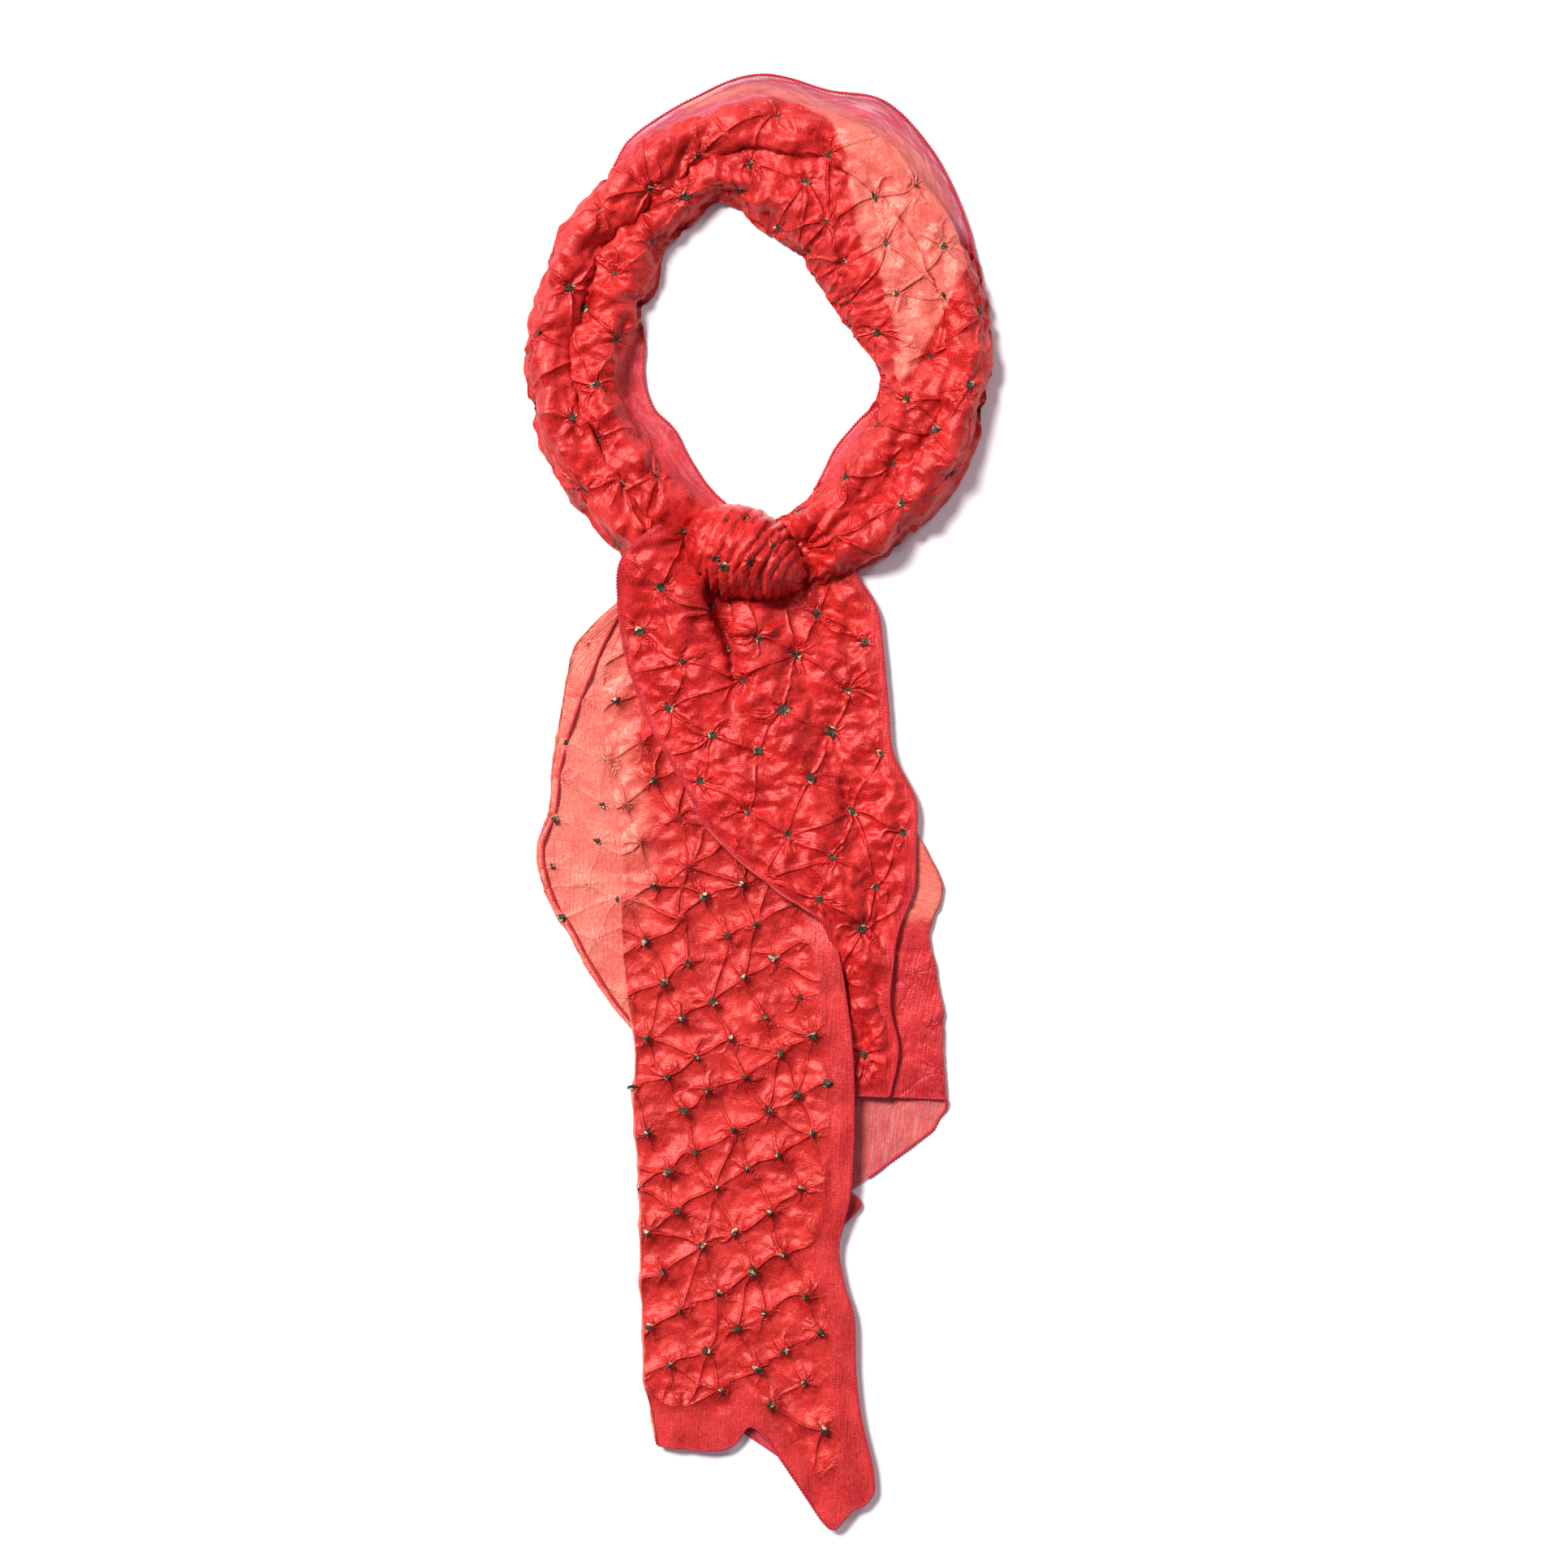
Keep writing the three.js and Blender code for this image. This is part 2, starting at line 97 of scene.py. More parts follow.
# %% Light
LAMPS = {                           # place, size in metres, watts, colour
    "key_lamp": ((-2.6, 2.7, 4.6), 2.0, 600.0, (1.0, 1.0, 0.985)),
    "side_lamp": ((2.6, 3.4, 3.4), 1.2, 50.0, (0.97, 0.985, 1.0)),
}
ROOM_COLOUR, ROOM_STRENGTH = (1.0, 0.76, 0.90, 1), 0.27

for name, (place, size, power, colour) in LAMPS.items():
    bpy.ops.object.light_add(type="AREA", location=place)
    lamp = bpy.context.object
    lamp.name = name
    lamp.data.shape = "DISK"
    lamp.data.size = size
    lamp.data.energy = power
    lamp.data.color = colour
    aim = -lamp.location
    lamp.rotation_euler = aim.to_track_quat("-Z", "Y").to_euler()

room = bpy.data.worlds.new("pale_room")
room.use_nodes = True
room.node_tree.nodes["Background"].inputs["Color"].default_value = ROOM_COLOUR
room.node_tree.nodes["Background"].inputs["Strength"].default_value = ROOM_STRENGTH
bpy.context.scene.world = room
bpy.context.scene.view_settings.view_transform = "Standard"
print("lamps:", list(LAMPS))

# %% [markdown]
# ## Curves through short tables
# Sizes change along the cloth. A dressmaker would measure them at a few sections and draw a smooth
# line through, and so does this lesson: a short table names its columns, and `through` reads one
# column at any place. That keeps every number one that a person could have measured. `mix` and
# `smooth` fade one fold into the next, because cloth has no hard steps.

# %% Curves through short tables
def table(columns, rows):
    """A table with named columns."""
    return dict(zip(columns.split(), np.array(rows, float).T))


def through(rows, name, at, turn=0.0):
    """A smooth curve through one column of a table. A full turn makes it go round."""
    x, y = rows["at"], rows[name]
    if turn:
        x = np.concatenate([x[-2:] - turn, x, x[:2] + turn])
        y = np.concatenate([y[-2:], y, y[:2]])
    slope = np.empty_like(y)
    slope[1:-1] = (y[2:] - y[:-2]) / (x[2:] - x[:-2])
    slope[0] = (y[1] - y[0]) / (x[1] - x[0])
    slope[-1] = (y[-1] - y[-2]) / (x[-1] - x[-2])
    k = np.clip(np.searchsorted(x, at, side="right") - 1, 0, len(x) - 2)
    gap = x[k + 1] - x[k]
    t = np.clip((at - x[k]) / gap, 0, 1)
    return ((2 * t**3 - 3 * t**2 + 1) * y[k] + (t**3 - 2 * t**2 + t) * gap * slope[k]
            + (3 * t**2 - 2 * t**3) * y[k + 1] + (t**3 - t**2) * gap * slope[k + 1])


def columns_at(rows, at, turn=0.0):
    """Every column of a table at once."""
    return {name: through(rows, name, at, turn) for name in rows if name != "at"}


def mix(a, b, t):
    return a + (b - a) * t


def smooth(x, low, high):
    """0 below low, 1 above high, and a soft step between."""
    t = np.clip((x - low) / (high - low), 0, 1)
    return t * t * (3 - 2 * t)


print("a quarter of the way up a soft step:", smooth(0.25, 0, 1))

# %% [markdown]
# ## Random hills and creases
# Silk that was wet, tied and dried has no two folds alike. `waves` gives soft random hills. Where
# they pass through zero run long wandering lines, and `crumple` turns these into creases. The
# random numbers start from a seed, so the cloth is the same each time.

# %% Random hills and creases
RANDOM_TABLE = 64           # random numbers a side, before they repeat
ALL_ABOVE_ZERO = 500        # keeps every place on the positive side of the table
HILL_HEIGHT = 1.6


def lattice(u, v, size):
    """The squares of the random table: exact places on it, and the square that each is in."""
    x, y = np.asarray(u) / size + ALL_ABOVE_ZERO, np.asarray(v) / size + ALL_ABOVE_ZERO
    return x, y, np.floor(x).astype(int), np.floor(y).astype(int)


def waves(u, v, size, seed):
    """Soft random hills and hollows, about -1 to 1, each about `size` across."""
    turn = np.random.default_rng(seed).uniform(0, 2 * math.pi, (RANDOM_TABLE, RANDOM_TABLE))
    x, y, i, j = lattice(u, v, size)
    fx, fy = x - i, y - j
    sx, sy = (t**3 * (t * (6 * t - 15) + 10) for t in (fx, fy))

    def corner(di, dj):
        angle = turn[(i + di) % RANDOM_TABLE, (j + dj) % RANDOM_TABLE]
        return np.cos(angle) * (fx - di) + np.sin(angle) * (fy - dj)

    low = mix(corner(0, 0), corner(1, 0), sx)
    high = mix(corner(0, 1), corner(1, 1), sx)
    return HILL_HEIGHT * mix(low, high, sy)


def crumple(u, v, size, seed):
    """Long wandering creases: 0 in a hollow, 1 on a crease."""
    return 1 - np.minimum(2.2 * np.abs(waves(u, v, size, seed)), 1)


row = waves(np.arange(500), 3, 9, 1)
print("hills from", round(float(row.min()), 2), "to", round(float(row.max()), 2))

# %% [markdown]
# ## Flat-sided hollows
# Crushed satin breaks into small flat faces that meet in sharp edges. Each hollow here is a small
# upturned pyramid with a random place and turn. Where two hollows meet there is an edge, and their
# sides stay flat. Soft hills alone would look like rubber.

# %% Flat-sided hollows
def facets(u, v, size, seed):
    """Shallow hollows with flat sides and sharp edges: about 0 in the middle of a hollow and 0.6
    on an edge."""
    chance = np.random.default_rng(seed)
    shift = chance.uniform(0, 1, (RANDOM_TABLE, RANDOM_TABLE, 2))
    raised = chance.uniform(0, 0.25, (RANDOM_TABLE, RANDOM_TABLE))
    turn = chance.uniform(0, math.pi / 2, (RANDOM_TABLE, RANDOM_TABLE))
    x, y, i, j = lattice(u, v, size)
    lowest = np.full(x.shape, 9.0)
    for di in (-1, 0, 1):
        for dj in (-1, 0, 1):
            a, b = (i + di) % RANDOM_TABLE, (j + dj) % RANDOM_TABLE
            dx, dy = i + di + shift[a, b, 0] - x, j + dj + shift[a, b, 1] - y
            c, s = np.cos(turn[a, b]), np.sin(turn[a, b])
            away = np.maximum(np.abs(dx * c + dy * s), np.abs(dy * c - dx * s))
            lowest = np.minimum(lowest, away + raised[a, b])
    return lowest


print("highest edge", round(float(facets(np.arange(500), 3, 9, 1).max()), 2))

# %% [markdown]
# ## The tied points
# The points are tied in staggered rows, by hand, so none is quite in its place. Threads pull the
# cloth in, and a crease runs from each point to the next. Others start at a point and die out on
# the way: these are arms. `tie_rows` places the points of one stretch, links the neighbours and
# adds the arms. Each crease has a bow of its own, because creases wander.

# %% The tied points
Crease = namedtuple("Crease", "start end strength bow arm")
LINKS = ((1, 0, 0.85), (0, 1, 0.85), (1, 1, 0.3), (1, -1, 0.3))    # neighbours, and how often
ARM_BOW = 1.1


def tie_rows(start, step_a, step_b, reach, keep, wander, arms, arm_length, linked, seed):
    """Tied points on the flat cloth, and the creases that leave them, in millimetres."""
    chance = np.random.default_rng(seed)
    count = 2 * reach + 1
    a, b = np.meshgrid(np.arange(-reach, reach + 1), np.arange(-reach, reach + 1), indexing="ij")
    place = (np.array(start, float) + a[..., None] * np.array(step_a, float)
             + b[..., None] * np.array(step_b, float))
    place = place + chance.uniform(-wander, wander, (count, count, 2))
    kept = keep(place[..., 0], place[..., 1])
    creases = []
    for i, j in np.argwhere(kept):
        for di, dj, odds in LINKS:
            k, m = i + di, j + dj
            if k < count and 0 <= m < count and kept[k, m] and chance.random() < odds * linked:
                creases.append(Crease(place[i, j], place[k, m], chance.uniform(0.6, 1),
                                      chance.uniform(-1, 1), False))
        for _ in range(arms):
            angle, length = chance.uniform(0, 2 * math.pi), chance.uniform(0.35, 1) * arm_length
            end = place[i, j] + length * np.array([math.cos(angle), math.sin(angle)])
            creases.append(Crease(place[i, j], end, chance.uniform(0.5, 1),
                                  chance.uniform(-ARM_BOW, ARM_BOW), True))
    return place[kept], creases


print("a point has up to", len(LINKS), "links of its own")

# %% [markdown]
# ## The tent and the star at each tie
# Between the ties the cloth is drawn up like a tent, in flat faces that slope down to every tie.
# For each place on the cloth this measures the way to the nearest tie and the height of the tent.
# Each tie gets faces with turns and slopes of its own, so that the tents are all different. The
# thread also gathers the cloth into short pleats like a star. Two sine waves round the tie give
# pleats of two widths, which fade before the next tie's star begins.

# %% The tent and the star at each tie
TENT_SIDES, TENT_REACH = 5, 18.0    # flat faces round each tie, and how far they go, millimetres
NOWHERE_NEAR = 1e6


def to_nearest_tie(u, v, ties, chance):
    """`away` is how far the nearest tie is and `second` the next one, `which` and `from_tie` say
    which tie it is and where, and `tent` is how high the flat faces have risen."""
    made = {"away": np.full(u.size, NOWHERE_NEAR), "second": np.full(u.size, NOWHERE_NEAR),
            "which": np.zeros(u.size, int), "from_tie": np.zeros((u.size, 2)),
            "tent": np.full(u.size, TENT_REACH)}
    wander_u, wander_v = 2.2 * waves(u, v, 15, 81), 2.2 * waves(u, v, 15, 82)
    for k, (tie_u, tie_v) in enumerate(ties):
        du, dv = u - tie_u, v - tie_v
        d = np.hypot(du, dv)
        around = np.flatnonzero(d < 2 * TENT_REACH)
        soften = smooth(d[around], 2, 9)
        tu, tv = du[around] + wander_u[around] * soften, dv[around] + wander_v[around] * soften
        turns = (np.arange(TENT_SIDES) + chance.uniform(-0.28, 0.28, TENT_SIDES)) / TENT_SIDES
        turns = 2 * math.pi * (turns + chance.uniform())
        steep = chance.uniform(0.75, 1.25, TENT_SIDES)
        rise = np.max([s * (tu * math.cos(a) + tv * math.sin(a)) for a, s in zip(turns, steep)],
                      axis=0)
        made["tent"][around] = np.minimum(made["tent"][around], rise)
        nearer = d < made["away"]
        made["second"] = np.where(nearer, made["away"], np.minimum(made["second"], d))
        made["away"][nearer], made["which"][nearer] = d[nearer], k
        made["from_tie"][nearer] = np.stack([du, dv], 1)[nearer]
    return made


def star_pleats(u, v, made, spokes):
    """Above 0 on a pleat and below 0 beside it, and 0 far from the ties."""
    from_tie, away = made["from_tie"], made["away"]
    turned = np.arctan2(from_tie[:, 1], from_tie[:, 0])
    spoke = spokes[made["which"]]
    star = np.abs(np.sin(2.5 * turned + spoke + 0.05 * away + 1.1 * waves(u, v, 9, 83)))
    star = star + 0.5 * np.abs(np.sin(4 * turned + 2 * spoke + 1.1 * waves(u, v, 7, 84)))
    return ((star - 0.95) * np.exp(-away / 13) * smooth(away, 1, 5)
            * smooth(made["second"] - away, 0, 7))


print("tents have", TENT_SIDES, "sides and reach", TENT_REACH, "mm")

# %% [markdown]
# ## The creases between the ties
# A crease is a thin ridge with a wide slope on both sides. Each place on the cloth keeps the
# distance to its strongest crease, below 0 on one side of the crease. The material later draws a
# fine line where that distance passes through 0, much finer than the mesh could.

# %% The creases between the ties
CREASE_REACH = 14.0         # creases have faded out this far away, millimetres
SHARP, WIDE = 1.6, 6.5      # how fast a crease and the slope beside it fade, millimetres


def crease_lines(u, v, creases, bow):
    """`crease` is the distance to the strongest crease with its side, `near` is the same without
    a side, `power` is how strong it is, and `sharp` and `wide` are the ridge and its slope."""
    made = {"crease": np.full(u.size, CREASE_REACH), "near": np.full(u.size, CREASE_REACH),
            "power": np.zeros(u.size), "sharp": np.zeros(u.size), "wide": np.zeros(u.size)}
    for c in creases:
        low, high = np.minimum(c.start, c.end), np.maximum(c.start, c.end)
        k = np.flatnonzero((u > low[0] - CREASE_REACH) & (u < high[0] + CREASE_REACH)
                           & (v > low[1] - CREASE_REACH) & (v < high[1] + CREASE_REACH))
        span = c.end - c.start
        length = np.hypot(*span)
        du, dv = u[k] - c.start[0], v[k] - c.start[1]
        t = (du * span[0] + dv * span[1]) / length**2
        s = np.clip(t, 0, 1)
        off = (span[0] * dv - span[1] * du) / length
        off = off - bow * (c.bow * np.sin(math.pi * s)
                           + 0.35 * np.sin(5 * c.bow) * np.sin(2 * math.pi * s))
        beyond = np.abs(t - s) * length
        d = np.hypot(off, beyond)
        power = c.strength * ((1 - s) ** 0.6 if c.arm else 0.55 + 0.45 * np.abs(2 * s - 1))
        power = power * np.exp(-beyond / 1.5)
        sharp = power * np.exp(-d / SHARP)
        strongest = sharp > made["sharp"][k]
        best = k[strongest]
        made["sharp"][best] = sharp[strongest]
        made["crease"][best] = np.where(off >= 0, d, -d)[strongest]
        made["near"][best] = d[strongest]
        made["power"][best] = power[strongest]
        made["wide"][k] = np.maximum(made["wide"][k], power * np.exp(-d / WIDE))
    return made


def tie_fields(u, v, ties, creases, bow):
    """All that the ties and creases do, at every place of a stretch of cloth."""
    shape = u.shape
    u, v = u.ravel(), v.ravel()
    chance = np.random.default_rng(len(ties))
    made = to_nearest_tie(u, v, ties, chance)
    made["star"] = star_pleats(u, v, made, chance.uniform(0, 7, len(ties) + 1))
    made.update(crease_lines(u, v, creases, bow))
    return {name: value.reshape(*shape, *value.shape[1:]) for name, value in made.items()}


print("a crease fades out within", CREASE_REACH, "mm")

# %% [markdown]
# ## Tips and pits
# The same ties look different from the two sides of the cloth. On one side the tied points stand
# up as tips with thin ridges between them. On the other they are drawn in as pits between puffs.
# Both reliefs add up the same fields, with other weights.

# %% Tips and pits
PIT_FLOOR = 2.0             # the flat floor of a pit, its radius in millimetres


def tips_up(fields):
    """Relief where the points stand up: a tip at each point, thin ridges between, slack cloth."""
    return (2.2 * np.exp(-fields["away"] / 3.2) + 2.6 * fields["sharp"] + 1.3 * fields["wide"]
            - 0.12 * fields["tent"] - 0.9 * fields["star"] + 0.3)


def pits_down(fields):
    """Relief where the points are pulled in: puffed cloth that slopes down to every point."""
    away = np.maximum(fields["away"] - PIT_FLOOR, 0)
    return (0.20 * fields["tent"] + 0.3 * (1 - fields["wide"]) + 0.8 * (1 - np.exp(-away / 4))
            - 2.8 * fields["star"] + 2.4 * fields["sharp"] * smooth(away, 0, 4) - 2.5)


print("the floor of a pit is", 2 * PIT_FLOOR, "mm wide")

# %% [markdown]
# ## A pile of thin layers
# The scarf is folded lengthwise, so its layers lie on each other. These sizes say how thick one
# layer is with its crumple and how far apart two layers lie. The lists collect what each stretch
# of cloth adds: its grid, its hems and its tied points.

# %% A pile of thin layers
MM = 0.001
MIDDLE_X = 2.0              # middle of the outline, as the tables measure it
CLOTH = 1.4                 # one layer with its crumple, millimetres
PITCH = 3.2                 # from one layer of a folded tail to the next
FOLD = PITCH / 2
LOW = CLOTH / 2
LOWEST = 0.35               # no cloth comes nearer to the table
sheets = []
hem_lines = []
tie_places = []


def normals(places):
    """The cloth's own direction at each place of a grid."""
    across, down = np.gradient(places, axis=1), np.gradient(places, axis=0)
    n = np.cross(across, down)
    return n / np.maximum(np.linalg.norm(n, axis=-1, keepdims=True), 1e-9)


print("three layers lie", round(2 * PITCH + CLOTH, 1), "mm high")

# %% [markdown]
# ## Laying a stretch of cloth
# Each stretch is a grid: its rows follow each other along the cloth, and each row runs from edge
# to edge. The relief moves every place along the cloth's own normal, so a fold keeps its
# thickness. Displacing straight up would be easier, but would shear the sides of the roll. The
# grid also carries what the dye needs to know: the flat place, the tied points, and how coral,
# how sheer and how plain the cloth is.

# %% Laying a stretch of cloth
OFF_THE_GRID = 2.5          # a tie this far from every place is beyond the edge, millimetres


def crushed(u, v):
    """The crumple of the cloth itself: large and small hollows, creases and soft hills."""
    bent_u, bent_v = u + 4 * waves(u, v, 21, 16), v + 4 * waves(u, v, 21, 19)
    return (2.6 * facets(bent_u, 0.8 * bent_v, 15, 11)
            - 1.9 * facets(0.8 * bent_u, bent_v, 10.5, 12)
            + 0.8 * crumple(bent_u, bent_v, 11, 20) + 0.9 * waves(u, v, 30, 13) - 0.8)


def lay(name, places, u, v, fields, plain, coral, sheer, relief, least=-9, most=9, crush=1.0):
    """Put a stretch of cloth on the pile, with its relief and its masks, in millimetres."""
    up = normals(places)
    if up[..., 2].mean() < 0:
        up = -up
    lift = ((1 - plain) * (relief(fields) + crush * crushed(u, v))
            + plain * 0.5 * waves(u, v, 18, 14))
    lift = np.minimum(np.maximum(lift, least), most)
    placed = places + up * lift[..., None]
    placed[..., 2] = np.maximum(placed[..., 2], LOWEST)
    masks = {key: np.broadcast_to(value, u.shape) for key, value in
             {"plain": plain, "coral": coral, "sheer": sheer}.items()}
    kept = {key: fields[key] for key in ("crease", "near", "power", "away", "from_tie", "which")}
    sheets.append({"name": name, "places": placed, "u": u, "v": v, "up": up, **kept, **masks})
    print(name, u.shape, "grid, relief", round(float(lift.min()), 1), "to",
          round(float(lift.max()), 1), "mm")
    return placed


def mark_ties(kind, ties, shows):
    """Remember where each tie of the last stretch came to lie, and which way it points."""
    sheet = sheets[-1]
    for tie_u, tie_v in ties:
        d = np.hypot(sheet["u"] - tie_u, sheet["v"] - tie_v)
        j, i = np.unravel_index(np.argmin(d), d.shape)
        if d[j, i] < OFF_THE_GRID and shows[j, i]:
            tie_places.append((sheet["places"][j, i], sheet["up"][j, i], kind))


print("a tie counts when it is within", OFF_THE_GRID, "mm of the grid")

# %% [markdown]
# ## Under the knot
# A knot pulls the cloth round it down and in. Below it, between two lobes of the short tail, a
# dark hollow opens. The lobes hang over it a little, and that makes it dark: a plain dent of the
# same depth would catch too much light.

# %% Under the knot
KNOT = {"x": -6, "y": 143, "half_x": 37, "half_y": 27, "high": 41, "low": 1.8, "lean": -0.42}
HOLLOW = ((-22, 122), (-14, 78))            # from its wide end to its narrow end
HOLLOW_WIDE, HOLLOW_NARROW = 12.0, 4.5      # half its width at these ends


def drawn_under_knot(places, sunk=0.97, lip=0.0):
    """The cloth near the knot, drawn down. `sunk` is how much of its height it loses in the
    hollow, and `lip` is how far the cloth beside the hollow hangs over it."""
    c, s = math.cos(KNOT["lean"]), math.sin(KNOT["lean"])
    x, y = places[..., 0] - KNOT["x"], places[..., 1] - KNOT["y"]
    far = np.hypot((x * c + y * s) / KNOT["half_x"], (y * c - x * s) / KNOT["half_y"])
    lower = places.copy()
    lower[..., 2] *= mix(0.42, 1, smooth(far, 0.85, 1.55))
    x, y = places[..., 0], places[..., 1]
    (x0, y0), (x1, y1) = HOLLOW
    t = np.clip(((x - x0) * (x1 - x0) + (y - y0) * (y1 - y0))
                / ((x1 - x0) ** 2 + (y1 - y0) ** 2), 0, 1)
    side = x - mix(x0, x1, t)
    far = np.hypot(side, y - mix(y0, y1, t)) / mix(HOLLOW_WIDE, HOLLOW_NARROW, t)
    lower[..., 2] *= 1 - sunk * np.exp(-far**4)
    lower[..., 0] -= lip * np.sign(side) * (1 - 0.6 * t) * np.exp(-((far - 1.25) / 0.3) ** 2)
    return lower


print("the hollow is", 2 * HOLLOW_WIDE, "mm wide at the knot")

# %% [markdown]
# ## The neck ring
# The cloth goes round the neck in a loose roll. A section across it shows, from the inside out: a
# flat hem, the crumpled inner band, a valley, the outer roll that leans over the valley, and at
# the top right the flat sheer border. The same section with sizes that change round the ring
# gives the whole ring. The first column is the angle, and the others are millimetres.

# %% The neck ring: sizes
RING_CENTRE = (2.0, 266.0)
RING = table("at outer inner brim valley flap roll dip band", [
    (-90, 149, 104, 3, 128, 4, 21, 17, 20), (-70, 145, 91, 3, 122, 5, 23, 16, 22),
    (-55, 142, 76, 3, 116, 9, 25, 17, 22), (-40, 141, 73, 3, 112, 8, 27, 18, 23),
    (-25, 139, 76, 3, 112, 5, 27, 19, 22), (-10, 136, 70, 3, 113, 4, 26, 18, 20),
    (5, 135, 57, 3, 110, 4, 25, 19, 19), (20, 136, 50, 5, 108, 4, 24, 20, 20),
    (35, 143, 49, 10, 108, 4, 23, 20, 21), (50, 153, 51, 15, 109, 4, 22, 20, 21),
    (63, 160, 56, 19, 110, 4, 22, 20, 22), (75, 154, 61, 13, 110, 4, 23, 20, 22),
    (90, 158, 69, 15, 112, 4, 24, 18, 21), (105, 149, 87, 11, 113, 4, 25, 12, 20),
    (120, 142, 80, 7, 109, 4, 26, 8, 20), (135, 132, 78, 3, 107, 4, 27, 8, 21),
    (150, 133, 68, 3, 110, 4, 27, 8, 22), (165, 131, 71, 3, 110, 4, 26, 9, 22),
    (180, 135, 67, 3, 115, 8, 25, 9, 22), (195, 137, 70, 3, 116, 15, 25, 12, 22),
    (210, 141, 72, 3, 115, 15, 25, 16, 22), (225, 143, 70, 3, 116, 18, 25, 18, 22),
    (240, 149, 79, 3, 122, 15, 24, 18, 22), (255, 153, 92, 3, 127, 8, 22, 17, 21)])
RING_CORAL = table("at low high", [       # the coral band, from its inner to its outer side
    (-30, 88, 80), (-17, 86, 86), (-12, 83, 90), (3, 81, 101), (15, 78, 118), (20, 78, 126),
    (28, 80, 131), (37, 82, 139), (47, 84, 145), (54, 95, 147), (61, 108, 146), (67, 124, 146),
    (73, 134, 147), (83, 141, 151), (88, 143, 153), (96, 143, 152), (106, 144, 151),
    (114, 147, 147)])
RING_ROWS = 410
RING_ACROSS = 66
UNDER_ACROSS = 9
print("the ring is measured at", len(RING["at"]), "angles")

# %% [markdown]
# ## The section of the ring
# Points across the roll are written down once, in terms of those sizes. A smooth curve then runs
# through them, and equal steps along it give the columns of the grid. Equal steps matter, because
# a stretched face would stretch the weave.

# %% The neck ring: section
def ring_section(turn):
    """Places across the ring at every angle: radius, height, and how plain the cloth is there."""
    w = columns_at(RING, turn, 360)
    edge, round_to = w["inner"] + w["flap"], w["outer"] - w["brim"]
    b, r = w["valley"] - edge, round_to - w["valley"]
    lean = 5 * smooth(turn, 100, 120) * (1 - smooth(turn, 215, 245)) + 1.5
    flap_plain, brim_plain = smooth(w["flap"], 5, 9), smooth(w["brim"], 4, 9)
    none = np.zeros_like(turn)
    over = [
        (w["inner"], 2.1, flap_plain), (mix(w["inner"], edge, 0.6), 3.4, flap_plain),
        (edge, 8, 0.5 * flap_plain), (edge + 0.14 * b, 0.72 * w["band"], none),
        (edge + 0.34 * b, w["band"], none), (edge + 0.58 * b, 0.96 * w["band"], none),
        (edge + 0.8 * b, mix(w["dip"], w["band"], 0.6), none), (w["valley"] + 1, w["dip"], none),
        (w["valley"] - lean + 0.1 * r, mix(w["dip"], w["roll"], 0.5), none),
        (w["valley"] + 0.3 * r, 0.96 * w["roll"], none),
        (w["valley"] + 0.62 * r, w["roll"], none), (w["valley"] + 0.88 * r, 0.74 * w["roll"], none),
        (round_to, 0.42 * w["roll"], 0.8 * brim_plain),
        (round_to + 0.35 * w["brim"], 0.26 * w["roll"], brim_plain), (w["outer"], 3.6, brim_plain)]
    under = [(w["outer"] - 1, LOW + 0.9, brim_plain), (round_to - 2, LOW, 0.8 * brim_plain),
             (mix(edge, w["valley"], 0.9), LOW, none), (edge + 9, LOW, none)]
    full = [np.stack([np.broadcast_to(part, turn.shape) for part in place], -1)
            for place in over + under]
    return np.stack(full, 1), len(over)


def resample(points, count, turns=8):
    """A smooth curve through rows of points, cut into equal steps. Also gives its length."""
    n = points.shape[1]
    t = np.linspace(0, n - 1, (n - 1) * turns + 1)
    k = np.clip(t.astype(int), 0, n - 2)
    f = (t - k)[None, :, None]
    p = [points[:, np.clip(k + d, 0, n - 1)] for d in (-1, 0, 1, 2)]
    curve = 0.5 * (2 * p[1] + (p[2] - p[0]) * f + (2 * p[0] - 5 * p[1] + 4 * p[2] - p[3]) * f**2
                   + (3 * p[1] - p[0] - 3 * p[2] + p[3]) * f**3)
    steps = np.linalg.norm(np.diff(curve[..., :2], axis=1), axis=-1)
    length = np.concatenate([np.zeros((len(points), 1)), np.cumsum(steps, 1)], 1)
    made = np.empty((len(points), count, points.shape[-1]))
    for row in range(len(points)):
        at = np.linspace(0, length[row, -1], count)
        for c in range(points.shape[-1]):
            made[row, :, c] = np.interp(at, length[row], curve[row, :, c])
    return made, length[:, -1]


print("rows are cut into", RING_ACROSS, "steps over the top and", UNDER_ACROSS, "below")

# %% [markdown]
# ## The ring in its place
# The section goes round the centre of the ring. Its place on the flat cloth is measured too: one
# way round the ring and the other way across it, from the valley, so the weave runs straight
# along the roll.

# %% The neck ring: places
VALLEY_BLUR = 15            # rows that even out the line of the valley
TURN_TO_MM = 108            # how far the cloth goes round in one radian
UNDER_STEP = 6              # columns below are this far apart on the flat cloth

